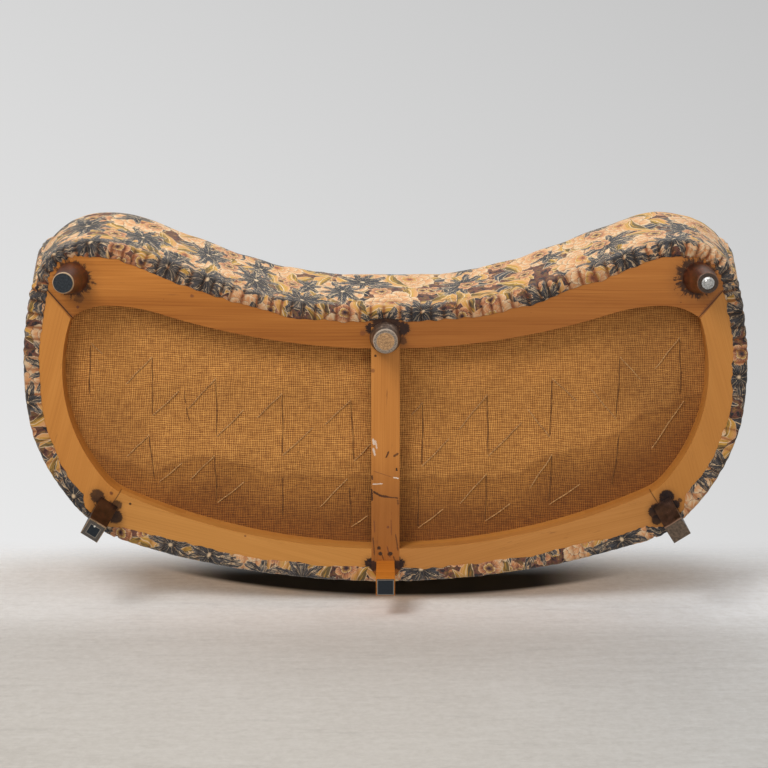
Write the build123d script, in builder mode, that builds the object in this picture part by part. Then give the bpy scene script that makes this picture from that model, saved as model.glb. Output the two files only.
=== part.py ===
"""Curved upholstered sofa on six legs, built as its joiner and upholsterer would build it.

The sofa stands on its legs with +Z up. Its front faces -Y, and X runs along its length.
All sizes are in millimetres, and angles in degrees.
"""

import os
from math import asin, cos, pi, radians, sin, tan

from build123d import *

os.makedirs("parts", exist_ok=True)

# Wooden base frame
frame_width = 1636
frame_depth = 779
front_hollow_depth = 151
leg_height = 125
rail_layer = 27
joint_gap = 0.3
overrun = 60

# Frame outline, as shares of half the width and of the depth behind the front lobes
flat_share = 0.072
hollow_end_shares = (0.4798, 0.1145)
lobe_start_shares = (0.7126, 0.0207)
lobe_peak_shares = (0.8182, 0.0)
front_corner_shares = (0.9693, 0.1262)
side_shares = (1.0, 0.4095)
rear_corner_shares = (0.8115, 0.8348)
rear_start_shares = (0.7522, 0.8698)

# Recess inside the rails, as shares of the same two sizes
recess_front_share = 0.2972
recess_hollow_shares = (0.6357, 0.1913)
recess_lobe_shares = (0.7763, 0.1682)
recess_bend_shares = (0.8374, 0.1797)
recess_mitre_shares = (0.8826, 0.2067)
recess_side_shares = (0.9114, 0.3970)
recess_seam_shares = (0.8007, 0.7022)
recess_rear_shares = (0.7482, 0.7445)
recess_back_share = 0.9166

# Where the rails meet, from the recess outwards; the upper layer breaks joint with the lower one
mitre_outer_shares = (0.9920, 0.0600)
seam_inner_shares = (0.7580, 0.7350)
seam_outer_shares = (0.8900, 0.9200)
upper_mitre_inner_shares = (0.8800, 0.3300)
upper_mitre_outer_shares = (1.0600, 0.3000)
upper_seam_inner_shares = (0.5600, 0.7500)
upper_seam_outer_shares = (0.6300, 1.0200)
stretcher_width = 66

# Turned front legs
leg_root_radius = 36.5
corner_tip_radius = 23.5
centre_tip_radius = 27.5
leg_tenon_radius = 14
leg_tenon_length = 46
leg_foot_round = 3
corner_leg_lean = 4.5
centre_leg_lean = 8
corner_leg_shares = (0.8740, 0.0850)
centre_leg_share = 0.2640

# Back posts, whose feet are the rear legs
post_width = 46
post_depth = 46
post_foot_width = 44
post_foot_depth = 42
post_rake = 15
post_top_depth = 31
post_top_inset = 8
centre_post_width = 42
centre_post_depth = 36
centre_post_rake = 5
corner_post_shares = (0.8060, 0.7930)
corner_post_angle = 57

# What the legs stand on
pad_thickness = 3
pad_inset = 2
nail_head_radius = 14
nail_head_rise = 4
nail_shank_radius = 2
nail_shank_length = 18
nail_dome_share = 0.55

# Upholstery over the frame
rake = 8.5
front_lean = 5.5
cover_gap = 1
cover_thickness = 13
hem_reach = 18
hem_thickness = 1.6
notch_gap = 2
seat_overhang = 50

# Heights above the floor
spring_top = 300
seat_height = 440
back_height = 800
corner_height = 772
arm_height = 560

# Wall of the back and arms, measured inward from the rails' outer edge
corner_share = 0.5
back_shares = (-0.5, -0.46, -0.38, -0.26, -0.13, 0, 0.13, 0.26, 0.38, 0.46, 0.5)
arm_shares = (0.5, 0.532, 0.58, 0.65, 0.74, 0.83, 0.9, 0.955, 1)
pad_foot = 165
pad_at_seat = 150
pad_middle = 128
pad_top = 92
top_roll = 46
lip_drop = 64
facing_thickness = 12
seat_gap = 3

# Timber inside the wall
top_rail_height = 44
top_rail_gap = 26
top_rail_inner = 44
top_rail_outer = 2
arm_post_share = 0.955
arm_post_length = 50

# Springs, webbing and cloths
cloth_thickness = 1.5
cloth_gap = 0.8
web_width = 55
web_thickness = 2
wall_web_heights = (0.60, 0.78)
wall_web_shares = (-0.36, -0.18, 0.09, 0.27, 0.44)
spring_end_radius = 44
spring_waist_radius = 28
spring_pitch = 147
spring_first = 82
spring_rows = ((0.41, 5), (0.64, 4))
web_inset = 56
spring_cloth_inset = 30
base_cloth_inset = 18

# Screws of the stretcher
screw_head_radius = 4.5
screw_shank_radius = 2.2
screw_length = 40
screw_sink = 1
screw_head_height = 2
screw_spread = 24
screw_share = 0.932

# Seat section, from its foot up: how far the front stands out, the height, and how far the back
# draws in.
# The crown's rows draw the front in as shares of the front corner's radius.
nose_shares = (
    (0.76, 0.00, 0.00),
    (0.90, 0.30, 0.00),
    (1.00, 0.62, 0.00),
    (0.90, 0.80, 0.04),
    (0.54, 0.93, 0.12),
)
crown_shares = ((0.16, 1.00, 0.35), (0.46, 1.05, 0.80))
seat_stations = (0.93, 0.85, 0.77, 0.69, 0.61, 0.54, 0.44, 0.32, 0.16)
border_shares = ((0.28, 0.0), (0.45, 0.4), (0.72, 1.0))

# Sizes worked out from the ones above
half_width = frame_width / 2
lean = tan(radians(rake))
cover_line = cover_gap + cover_thickness
web_line = top_rail_inner + joint_gap
hessian_line = web_line + 2 * (web_thickness + joint_gap) + cloth_thickness
wall_cloth_line = hessian_line + cloth_gap
frame_top = leg_height + 2 * rail_layer
webbing_base = frame_top + cloth_thickness
spring_base = webbing_base + 2 * web_thickness
pad_bottom = spring_top + cloth_thickness + joint_gap
back_reach = frame_depth + cover_line + lean * (back_height - leg_height - top_roll / 2)
plan_centre = (back_reach - seat_overhang) / 2


def plan_point(shares, side=1):
    """A place on the plan, from its shares of half the width and of the depth."""
    across, back = shares
    return side * across * half_width, back * frame_depth - plan_centre


def outward(run, share):
    """The level direction that points away from the sofa at a share of an outline run."""
    along = run % share
    return Vector(along.Y, -along.X, 0)


def moved_runs(runs, amount, last=1):
    """Outline runs moved outward by an amount, the final one up to its last share."""
    moved = []
    for run in runs:
        stop = last if run is runs[-1] else 1
        start, middle, end = (run @ share + outward(run, share) * amount for share in (0, stop / 2, stop))
        if moved:
            start = moved[-1] @ 1
        if run is rear:
            end = Vector(0, end.Y)
        if run.geom_type == GeomType.LINE:
            moved.append(Line(start, end))
        else:
            moved.append(ThreePointArc(start, middle, end))
    return moved


# Outline of the frame's right half, from the middle of the front round to the middle of the back
with BuildLine():
    hollow_share = front_hollow_depth / frame_depth
    front_middle = Line(plan_point((0, hollow_share)), plan_point((flat_share, hollow_share)))
    front_bend = TangentArc(front_middle @ 1, plan_point(hollow_end_shares), tangent=front_middle % 1)
    front_run = Line(front_bend @ 1, plan_point(lobe_start_shares))
    lobe = TangentArc(front_run @ 1, plan_point(lobe_peak_shares), tangent=front_run % 1)
    front_corner = TangentArc(lobe @ 1, plan_point(front_corner_shares), tangent=lobe % 1)
    side_run = TangentArc(front_corner @ 1, plan_point(side_shares), tangent=front_corner % 1)
    side_bend = TangentArc(side_run @ 1, plan_point(rear_corner_shares), tangent=side_run % 1)
    rear_corner = TangentArc(side_bend @ 1, plan_point(rear_start_shares), tangent=side_bend % 1)
    rear = TangentArc(rear_corner @ 1, plan_point((0, 1)), tangent=rear_corner % 1)

front_runs = (front_middle, front_bend, front_run, lobe, front_corner)
wall_runs = (side_run, side_bend, rear_corner, rear)
wall_line = Wire(wall_runs)


def plan_face(amount, height=leg_height):
    """The whole frame outline moved outward by an amount, as a level face."""
    with BuildSketch(Plane.XY.offset(height)) as plan:
        with BuildLine():
            moved_runs((*front_runs, *wall_runs), amount)
            mirror(about=Plane.YZ)
        make_face()
    return plan.sketch


def recess_face(height=leg_height):
    """The opening inside the rails."""
    with BuildSketch(Plane.XY.offset(height)) as plan:
        with BuildLine():
            back = plan_point((0, recess_back_share))
            rear_edge = TangentArc(back, plan_point(recess_rear_shares), tangent=(1, 0))
            bend = TangentArc(rear_edge @ 1, plan_point(recess_seam_shares), tangent=rear_edge % 1)
            ThreePointArc(bend @ 1, plan_point(recess_side_shares), plan_point(recess_mitre_shares))
            lobe_shares = (recess_mitre_shares, recess_bend_shares, recess_lobe_shares)
            lobe_edge = ThreePointArc(*(plan_point(shares) for shares in lobe_shares))
            hollow = TangentArc(lobe_edge @ 1, plan_point(recess_hollow_shares), tangent=lobe_edge % 1)
            front = plan_point((0, recess_front_share))
            RadiusArc(hollow @ 1, front, hollow_radius(hollow @ 1, front))
            mirror(about=Plane.YZ)
        make_face()
    return plan.sketch


def hollow_radius(end, middle):
    """Radius of the arc that leaves the middle level and ends at a point beside it."""
    across = end.X
    drop = middle[1] - end.Y
    return -(across**2 + drop**2) / (2 * drop)


def cut_region(*corners, height=leg_height):
    """A level polygon that picks one rail out of the ring, from its corners on the plan."""
    with BuildSketch(Plane.XY.offset(height)) as region:
        with BuildLine():
            Polyline(*corners, close=True)
        make_face()
    return region.sketch


def leg_place(x, y, tilt):
    """The plane at a turned leg's root, whose Z runs up the leaning leg."""
    rise = (0, sin(radians(tilt)), cos(radians(tilt)))
    return Plane(origin=(x, y, leg_height), x_dir=(1, 0, 0), z_dir=rise)


def post_place(x, y, angle, height=0):
    """The level plane of a back post, whose X points out of the sofa's back."""
    out = (cos(radians(angle)), sin(radians(angle)), 0)
    return Plane(origin=(x, y, height), x_dir=out, z_dir=(0, 0, 1))


def foot_spot(place, foot):
    """The middle of a turned leg's foot, at its height above the floor."""
    return place.origin - place.z_dir * ((leg_height - foot) / place.z_dir.Z)


def post_sockets(gap, height=leg_height):
    """The sections of all the back posts where they pass the rails."""
    with BuildSketch(Plane.XY.offset(height)) as sockets:
        for x, y, angle, depth, width in post_sections:
            with Locations(Location((x, y, 0), (0, 0, angle))):
                Rectangle(depth + 2 * gap, width + 2 * gap)
    return sockets.sketch


# Places of the legs and posts
corner_x, corner_y = plan_point(corner_leg_shares)
_, centre_y = plan_point((0, centre_leg_share))
post_x, post_y = plan_point(corner_post_shares)
_, frame_back = plan_point((0, 1))
_, frame_front = plan_point((0, 0))
centre_post_y = frame_back - centre_post_depth / 2
turned_legs = {
    "front_left_leg": (leg_place(-corner_x, corner_y, corner_leg_lean), corner_tip_radius, pad_thickness),
    "front_centre_leg": (leg_place(0, centre_y, centre_leg_lean), centre_tip_radius, 0),
    "front_right_leg": (leg_place(corner_x, corner_y, corner_leg_lean), corner_tip_radius, nail_head_rise),
}
post_share = 0.547
screw_y = plan_point((0, screw_share))[1]
screw_spots = [(side * screw_spread / 2, screw_y, leg_height + screw_sink) for side in (-1, 1)]
post_sections = (
    (-post_x, post_y, 180 - corner_post_angle, post_depth, post_width),
    (0, centre_post_y, 90, centre_post_depth, centre_post_width),
    (post_x, post_y, corner_post_angle, post_depth, post_width),
)


def corner_pair(side, inner_shares, outer_shares):
    """The two ends of a joint line on one side of the sofa."""
    return plan_point(inner_shares, side), plan_point(outer_shares, side)


def screw_bores():
    """Cut the screws' holes out of the part being built."""
    for x, y, base in screw_spots:
        with Locations((x, y, leg_height)):
            bore = Align.CENTER, Align.CENTER, Align.MIN
            depth = screw_length + 2 * screw_sink
            Cylinder(screw_shank_radius + joint_gap, depth, align=bore, mode=Mode.SUBTRACT)
            head = screw_sink + screw_head_height + joint_gap
            Cylinder(screw_head_radius + joint_gap, head, align=bore, mode=Mode.SUBTRACT)


def rail_layer_part(region, base):
    """One rail: a piece of the ring between the outline and the recess, with its sockets."""
    with BuildPart() as rail:
        extrude(plan_face(0, base), amount=rail_layer)
        extrude(recess_face(base), amount=rail_layer, mode=Mode.SUBTRACT)
        extrude(region, amount=rail_layer, mode=Mode.INTERSECT)
        extrude(post_sockets(joint_gap, base), amount=rail_layer, mode=Mode.SUBTRACT)
        for place, _, _ in turned_legs.values():
            with Locations(place):
                socket = Align.CENTER, Align.CENTER, Align.CENTER
                Cylinder(leg_tenon_radius + joint_gap, 4 * rail_layer, align=socket, mode=Mode.SUBTRACT)
        screw_bores()
    return rail


# Lower layer of rails, three to a side and the stretcher between them
stretcher_edge = stretcher_width / 2
far_x = half_width + overrun
far_front = frame_front - overrun
far_back = frame_back + overrun
for side, hand in ((-1, "left"), (1, "right")):
    mitre = corner_pair(side, recess_mitre_shares, mitre_outer_shares)
    seam = corner_pair(side, seam_inner_shares, seam_outer_shares)
    front_zone = cut_region(
        (side * stretcher_edge, far_front), (side * stretcher_edge, 0), *mitre, (side * far_x, far_front)
    )
    side_zone = cut_region(*mitre, (side * far_x, far_front), (side * far_x, far_back), *reversed(seam))
    rear_zone = cut_region(
        (side * stretcher_edge, 0), *seam, (side * far_x, far_back), (side * stretcher_edge, far_back)
    )
    for zone, place in ((front_zone, "front"), (side_zone, "side"), (rear_zone, "rear")):
        rail = rail_layer_part(zone, leg_height)
        rail.part.label = f"{place}_rail_{hand}"
        export_step(rail.part, f"parts/{rail.part.label}.step")

with BuildPart() as centre_stretcher:
    extrude(plan_face(0), amount=rail_layer)
    stretcher_zone = cut_region(
        (-stretcher_edge, far_front),
        (stretcher_edge, far_front),
        (stretcher_edge, far_back),
        (-stretcher_edge, far_back),
    )
    extrude(stretcher_zone, amount=rail_layer, mode=Mode.INTERSECT)
    extrude(post_sockets(joint_gap), amount=rail_layer, mode=Mode.SUBTRACT)
    with Locations(turned_legs["front_centre_leg"][0]):
        Cylinder(leg_tenon_radius + joint_gap, 4 * rail_layer, mode=Mode.SUBTRACT)
    screw_bores()
centre_stretcher.part.label = "centre_stretcher"
export_step(centre_stretcher.part, "parts/centre_stretcher.step")

# Upper layer, whose joints are staggered over the lower ones
upper_base = leg_height + rail_layer
upper_mitres = (corner_pair(s, upper_mitre_inner_shares, upper_mitre_outer_shares) for s in (-1, 1))
left_mitre, right_mitre = upper_mitres
upper_seams = (corner_pair(s, upper_seam_inner_shares, upper_seam_outer_shares) for s in (-1, 1))
left_seam, right_seam = upper_seams
upper_zones = {
    "upper_front_rail": (*reversed(left_mitre), *right_mitre, (far_x, far_front), (-far_x, far_front)),
    "upper_rear_rail": (*reversed(left_seam), *right_seam, (0, far_back)),
    "upper_side_rail_left": (*left_mitre, (-far_x, far_back), *reversed(left_seam)),
    "upper_side_rail_right": (*right_mitre, (far_x, far_back), *reversed(right_seam)),
}
for name, corners in upper_zones.items():
    rail = rail_layer_part(cut_region(*corners, height=upper_base), upper_base)
    rail.part.label = name
    export_step(rail.part, f"parts/{name}.step")


def eased(start, end, share):
    """A value that leaves the start level and reaches the end level."""
    return start + (end - start) * (1 - cos(pi * share)) / 2


def wall_height(share):
    """Height of the wall's top above the rails' undersides, at a share of its run from the back's middle."""
    reach = abs(share)
    if reach < corner_share:
        return eased(back_height, corner_height, reach / corner_share) - leg_height
    return eased(corner_height, arm_height, (reach - corner_share) / (1 - corner_share)) - leg_height


def wall_tilt(share):
    """How far the arms lean forward, in radians, growing from the corners to the arm fronts."""
    return radians(front_lean) * max(0, (abs(share) - corner_share) / (1 - corner_share))


def wall_plane(share):
    """The upright plane across the wall at a share of its run, with X pointing out of the sofa."""
    side = -1 if share < 0 else 1
    spot = wall_line @ (1 - abs(share))
    along = wall_line % (1 - abs(share))
    out = Vector(side * along.Y, -along.X)
    forward = Vector(-side * along.X, -along.Y)
    up = Vector(0, 0, cos(wall_tilt(share))) + forward * sin(wall_tilt(share))
    return Plane(origin=(side * spot.X, spot.Y, leg_height), x_dir=out, z_dir=out.cross(up))


def raked(share, across, up):
    """A point of a wall section, which leans outward as it rises."""
    return across + lean * up, up / cos(wall_tilt(share))


def band_section(share, inner, outer, low, high):
    """A plain four-sided section of the wall between two lines and two heights."""
    with BuildSketch(wall_plane(share)) as section:
        with BuildLine():
            corners = (inner, low), (outer, low), (outer, high), (inner, high)
            Polyline(*(raked(share, across, up) for across, up in corners), close=True)
        make_face()
    return section.sketch


def inside_outline(share):
    """Draw the inside face of the wall and the roll over its top; the roll and the face's foot come back."""
    top = wall_height(share)
    low = pad_bottom - leg_height
    seat_line = seat_height - leg_height
    face_foot = Line(raked(share, -pad_foot, low), raked(share, -pad_at_seat, seat_line))
    middle = raked(share, -pad_middle, (seat_line + top - top_roll) / 2)
    face = ThreePointArc(face_foot @ 1, middle, raked(share, -pad_top, top - top_roll))
    crest = raked(share, (cover_line - pad_top) / 2, top)
    roll = ThreePointArc(face @ 1, crest, raked(share, cover_line, top - top_roll))
    return roll, face_foot


def pad_section(share):
    """The inside padding: up the face of the wall, round its top and down to the lip outside."""
    top = wall_height(share)
    low = pad_bottom - leg_height
    with BuildSketch(wall_plane(share)) as section:
        with BuildLine():
            roll, face_foot = inside_outline(share)
            Polyline(
                roll @ 1,
                raked(share, cover_line, top - lip_drop),
                raked(share, cover_gap, top - lip_drop),
                raked(share, cover_gap, top - top_rail_gap + joint_gap),
                raked(share, -wall_cloth_line, top - top_rail_gap + joint_gap),
                raked(share, -wall_cloth_line, low),
                face_foot @ 0,
            )
        make_face()
    return section.sketch


def facing_section(share):
    """The whole front end of an arm, cut back where it passes the rails."""
    with BuildSketch(wall_plane(share)) as section:
        with BuildLine():
            low = pad_bottom - leg_height
            roll, face_foot = inside_outline(share)
            Polyline(
                roll @ 1,
                raked(share, cover_line, 0),
                raked(share, cover_gap, 0),
                raked(share, cover_gap, low),
                face_foot @ 0,
            )
        make_face()
    return section.sketch


def cover_section(share):
    """The outside cover, from the rails' undersides up to the lip of the padding."""
    return band_section(share, cover_gap, cover_line, 0, wall_height(share) - lip_drop - joint_gap)


def top_rail_section(share):
    """The timber along the top of the wall."""
    top = wall_height(share) - top_rail_gap
    return band_section(share, -top_rail_inner, -top_rail_outer, top - top_rail_height, top)


def hessian_section(share):
    """The cloth between the webbing and the padding."""
    top = wall_height(share) - top_rail_gap - cloth_gap - cloth_thickness
    return band_section(share, -hessian_line, cloth_thickness - hessian_line, pad_bottom - leg_height, top)


def wall_piece(shares, section):
    """A stretch of the wall lofted through its sections."""
    with BuildPart() as piece:
        loft(sections=[section(share) for share in shares])
    return piece


# Turned legs with their tenons
for name, (place, tip_radius, foot) in turned_legs.items():
    root = place.origin
    taper = (leg_root_radius - tip_radius) / leg_height
    upwards = Align.CENTER, Align.CENTER, Align.MIN
    with BuildPart() as leg:
        with BuildSketch(Plane(origin=root, x_dir=(1, 0, 0), z_dir=Vector(1, 0, 0).cross(place.z_dir))):
            with BuildLine():
                Polyline(
                    (0, overrun),
                    (leg_root_radius + taper * overrun, overrun),
                    (tip_radius - taper * overrun, -leg_height - overrun),
                    (0, -leg_height - overrun),
                    close=True,
                )
            make_face()
        revolve(axis=Axis(root, place.z_dir))
        split(bisect_by=Plane.XY.offset(leg_height), keep=Keep.BOTTOM)
        split(bisect_by=Plane.XY.offset(foot), keep=Keep.TOP)
        fillet(leg.edges().group_by(Axis.Z)[0], leg_foot_round)
        with Locations(place.offset(-leg_root_radius)):
            Cylinder(leg_tenon_radius, leg_root_radius + leg_tenon_length, align=upwards)
        if foot == nail_head_rise:
            with Locations(foot_spot(place, foot)):
                bore_radius = nail_shank_radius + joint_gap
                Cylinder(bore_radius, nail_shank_length + joint_gap, align=upwards, mode=Mode.SUBTRACT)
    leg.part.label = name
    export_step(leg.part, f"parts/{name}.step")

# What the outer two front legs stand on
left_place, left_tip, left_foot = turned_legs["front_left_leg"]
with BuildPart() as front_left_pad:
    with Locations(foot_spot(left_place, left_foot)):
        flush_top = Align.CENTER, Align.CENTER, Align.MAX
        Cylinder(left_tip - pad_inset, pad_thickness, align=flush_top)
front_left_pad.part.label = "front_left_pad"
export_step(front_left_pad.part, "parts/front_left_pad.step")

right_place, _, right_foot = turned_legs["front_right_leg"]
nail_spot = foot_spot(right_place, right_foot)
with BuildPart() as front_right_glide:
    with BuildSketch(Plane(origin=nail_spot, x_dir=(1, 0, 0), z_dir=(0, -1, 0))):
        with BuildLine():
            under = Line((0, 0), (nail_head_radius, 0))
            rim = Line(under @ 1, (nail_head_radius, -nail_head_rise / 2))
            flat = nail_head_radius / 2, -nail_head_rise
            dome = (nail_head_radius + flat[0]) * nail_dome_share, -nail_head_rise * nail_dome_share
            crown = ThreePointArc(rim @ 1, dome, flat)
            Polyline(crown @ 1, (0, -nail_head_rise), (0, 0))
        make_face()
    revolve(axis=Axis(nail_spot, (0, 0, 1)))
    with Locations(nail_spot):
        Cylinder(nail_shank_radius, nail_shank_length, align=upwards)
front_right_glide.part.label = "front_right_glide"
export_step(front_right_glide.part, "parts/front_right_glide.step")

# Back posts: a tapered foot, a stub through the rails, and a thinner post leaning back above them
post_rows = (
    ("rear_left_post", post_rake, pad_thickness),
    ("rear_centre_post", centre_post_rake, pad_thickness),
    ("rear_right_post", post_rake, 0),
)
for (name, rake, foot), (x, y, angle, depth, width) in zip(post_rows, post_sections):
    edge_gap = wall_line.distance_to(Vertex(abs(x), y, 0))
    share = 0 if x == 0 else post_share + width / 2 / wall_line.length
    post_top = leg_height + wall_height(share) - top_rail_gap - top_rail_height - joint_gap
    upper_centre = edge_gap - post_top_inset - post_top_depth / 2
    with BuildPart() as post:
        with BuildSketch(post_place(x, y, angle)) as foot_face:
            with Locations((rake, 0)):
                Rectangle(post_foot_depth, post_foot_width)
        with BuildSketch(post_place(x, y, angle, leg_height)) as root_face:
            Rectangle(depth, width)
        loft(sections=[foot_face.sketch, root_face.sketch])
        extrude(root_face.sketch, amount=2 * rail_layer)
        with BuildSketch(post_place(x, y, angle, frame_top)) as shoulder_face:
            with Locations((upper_centre + lean * (frame_top - leg_height), 0)):
                Rectangle(post_top_depth, width)
        with BuildSketch(post_place(x, y, angle, post_top)) as top_face:
            with Locations((upper_centre + lean * (post_top - leg_height), 0)):
                Rectangle(post_top_depth, width)
        loft(sections=[shoulder_face.sketch, top_face.sketch])
        split(bisect_by=Plane.XY.offset(foot), keep=Keep.TOP)
    post.part.label = name
    export_step(post.part, f"parts/{name}.step")

# Square pads under the left and centre back posts
pad_names = ("rear_left_pad", "rear_centre_pad")
for name, (_, rake, _), (x, y, angle, _, _) in zip(pad_names, post_rows, post_sections):
    with BuildPart() as pad:
        with BuildSketch(post_place(x, y, angle)):
            with Locations((rake, 0)):
                Rectangle(post_foot_depth - 2 * pad_inset, post_foot_width - 2 * pad_inset)
        extrude(amount=pad_thickness)
    pad.part.label = name
    export_step(pad.part, f"parts/{name}.step")

# The wall's long pieces: one round the back and one along each arm
wall_rows = (
    ("back_top_rail", "arm_rail", top_rail_section),
    ("back_hessian", "arm_hessian", hessian_section),
    ("back_pad", "arm_pad", pad_section),
    ("outside_back", "outside_arm", cover_section),
)
left_shares = [-share for share in reversed(arm_shares)]
for back_name, arm_name, section in wall_rows:
    stretches = {back_name: back_shares, f"{arm_name}_left": left_shares, f"{arm_name}_right": arm_shares}
    for name, shares in stretches.items():
        piece = wall_piece(shares, section)
        piece.part.label = name
        export_step(piece.part, f"parts/{name}.step")

# Arm posts, and the facings that close the front ends of the arms
for side, hand in ((-1, "left"), (1, "right")):
    low_end = side * (arm_post_share + arm_post_length / 2 / wall_line.length)
    post_top = wall_height(low_end) - top_rail_gap - top_rail_height - cloth_gap
    with BuildPart() as arm_post:
        limits = -top_rail_inner, -top_rail_outer, -overrun, post_top + overrun
        extrude(band_section(side * arm_post_share, *limits), amount=arm_post_length / 2, both=True)
        split(bisect_by=Plane.XY.offset(webbing_base), keep=Keep.TOP)
        split(bisect_by=Plane.XY.offset(leg_height + post_top), keep=Keep.BOTTOM)
    arm_post.part.label = f"arm_post_{hand}"
    export_step(arm_post.part, f"parts/{arm_post.part.label}.step")

    with BuildPart() as facing:
        ahead = side_run.tangent_at(0)
        extrude(facing_section(side), amount=facing_thickness, dir=(-side * ahead.X, -ahead.Y, 0))
    facing.part.label = f"arm_facing_{hand}"
    export_step(facing.part, f"parts/{facing.part.label}.step")

# Webbing of the back: upright strips against the timber, and two long ones over them
with BuildPart() as back_webbing:
    for share in wall_web_shares:
        low = webbing_base + joint_gap - leg_height
        top = wall_height(share) - top_rail_gap - web_thickness
        strip = band_section(share, -web_line - web_thickness, -web_line, low, top)
        extrude(strip, amount=web_width / 2, both=True)
    for height_share in wall_web_heights:
        sections = []
        for share in back_shares:
            middle = wall_height(share) * height_share
            inner = web_line + joint_gap + 2 * web_thickness
            edges = middle - web_width / 2, middle + web_width / 2
            sections.append(band_section(share, -inner, web_thickness - inner, *edges))
        loft(sections=sections)
back_webbing.part.label = "back_webbing"
export_step(back_webbing.part, "parts/back_webbing.step")


def cloth_sheet(inset, height, thickness):
    """A flat cloth on the plan of the frame, cut out round the back posts."""
    with BuildPart() as cloth:
        extrude(plan_face(-inset, height), amount=thickness)
        extrude(post_sockets(joint_gap, height), amount=thickness, mode=Mode.SUBTRACT)
    return cloth


# Cloths, webbing and springs between the rails and the seat
for name, inset, height in (
    ("base_hessian", base_cloth_inset, frame_top),
    ("spring_hessian", spring_cloth_inset, spring_top),
):
    cloth = cloth_sheet(inset, height, cloth_thickness)
    cloth.part.label = name
    export_step(cloth.part, f"parts/{name}.step")

row_lines = [plan_point((0, share))[1] for share, _ in spring_rows]
column_lines = [spring_first + spring_pitch * count for count in range(spring_rows[0][1])]
with BuildPart() as seat_webbing_cross:
    extrude(plan_face(-web_inset, webbing_base), amount=web_thickness)
    with BuildSketch(Plane.XY.offset(webbing_base)) as strips:
        for x in column_lines:
            with Locations((-x, 0), (x, 0)):
                Rectangle(web_width, 2 * frame_depth)
    extrude(strips.sketch, amount=web_thickness, mode=Mode.INTERSECT)
seat_webbing_cross.part.label = "seat_webbing_cross"
export_step(seat_webbing_cross.part, "parts/seat_webbing_cross.step")

with BuildPart() as seat_webbing_long:
    extrude(plan_face(-web_inset, webbing_base + web_thickness), amount=web_thickness)
    with BuildSketch(Plane.XY.offset(webbing_base + web_thickness)) as strips:
        for y in row_lines:
            with Locations((0, y)):
                Rectangle(2 * frame_width, web_width)
    extrude(strips.sketch, amount=web_thickness, mode=Mode.INTERSECT)
seat_webbing_long.part.label = "seat_webbing_long"
export_step(seat_webbing_long.part, "parts/seat_webbing_long.step")

with BuildPart() as seat_springs:
    for y, (_, count) in zip(row_lines, spring_rows):
        for x in column_lines[:count]:
            for side in (-1, 1):
                spot = (side * x, y, spring_base)
                with BuildSketch(Plane(origin=spot, x_dir=(1, 0, 0), z_dir=(0, -1, 0))):
                    with BuildLine():
                        rise = spring_top - spring_base
                        waist = (spring_waist_radius, rise / 2)
                        flank = ThreePointArc((spring_end_radius, 0), waist, (spring_end_radius, rise))
                        Polyline(flank @ 1, (0, rise), (0, 0), flank @ 0)
                    make_face()
                revolve(axis=Axis((side * x, y, spring_base), (0, 0, 1)))
seat_springs.part.label = "seat_springs"
export_step(seat_springs.part, "parts/seat_springs.step")


def facing_reach(height):
    """How far the front of the arm's facing stands ahead of the arm's foot, at a height."""
    return facing_thickness + joint_gap + tan(radians(front_lean)) * (height - leg_height)


def arm_front(amount, height):
    """A place on the line where the right arm's front crosses the plan at a height, moved outward."""
    forward = side_run.tangent_at(0) * -facing_reach(height)
    return side_run.position_at(0) + forward + outward(side_run, 0) * amount


def front_edge(amount, height):
    """Draw the right half of the seat's front outline, as far as the front of the arm."""
    radius = front_corner.radius
    turn = asin(facing_reach(height) / (radius + amount)) * radius / front_corner.length
    return moved_runs(front_runs, amount, 1 - turn)[-1]


def border_level(amount, height):
    """The area in front of the arms, closed behind the front rail."""
    with BuildSketch(Plane.XY.offset(height)) as level:
        with BuildLine():
            corner = front_edge(amount, height)
            inner = arm_front(-pad_foot, height)
            Polyline(corner @ 1, inner, (inner.X, 0), (0, 0))
            mirror(about=Plane.YZ)
        make_face()
    return level.sketch


def wall_spot(share, amount):
    """A place on the plan at a share of the wall's run, moved outward."""
    place = wall_plane(share)
    return place.origin.X + place.x_dir.X * amount, place.origin.Y + place.x_dir.Y * amount


def seat_level(amount, height, draw):
    """The whole seat at one height: its front, and its back and sides inside the wall."""
    rise = height - leg_height
    foot_rise = pad_bottom - leg_height
    pad_slope = (pad_foot - pad_at_seat) / (seat_height - pad_bottom)
    inset = lean * rise - pad_foot + pad_slope * (rise - foot_rise) - seat_gap - draw
    with BuildSketch(Plane.XY.offset(height)) as level:
        with BuildLine():
            corner = front_edge(amount, height)
            start, end = wall_spot(1, inset), wall_spot(0, inset)
            Polyline(corner @ 1, arm_front(inset, height), start)
            stations = [wall_spot(share, inset) for share in seat_stations]
            Spline(start, *stations, (0, end[1]), tangents=(side_run.tangent_at(0), (-1, 0)))
            mirror(about=Plane.YZ)
        make_face()
    return level.sketch


# Seat: the padding over the springs, and the border down its front
seat_rise = seat_height - pad_bottom
with BuildPart() as seat_pad:
    levels = []
    for front_share, height_share, draw_share in nose_shares:
        height = pad_bottom + seat_rise * height_share
        levels.append(seat_level(seat_overhang * front_share, height, seat_overhang * draw_share))
    for inset_share, height_share, draw_share in crown_shares:
        height = pad_bottom + seat_rise * height_share
        levels.append(seat_level(-front_corner.radius * inset_share, height, seat_overhang * draw_share))
    loft(sections=levels, ruled=True)
seat_pad.part.label = "seat_pad"
export_step(seat_pad.part, "parts/seat_pad.step")

border_rise = pad_bottom - leg_height
with BuildPart() as seat_front_border:
    levels = []
    for front_share, height_share in border_shares:
        levels.append(border_level(seat_overhang * front_share, leg_height + border_rise * height_share))
    loft(sections=levels, ruled=True)
    extrude(plan_face(cover_gap), amount=border_rise, mode=Mode.SUBTRACT)
seat_front_border.part.label = "seat_front_border"
export_step(seat_front_border.part, "parts/seat_front_border.step")


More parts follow.
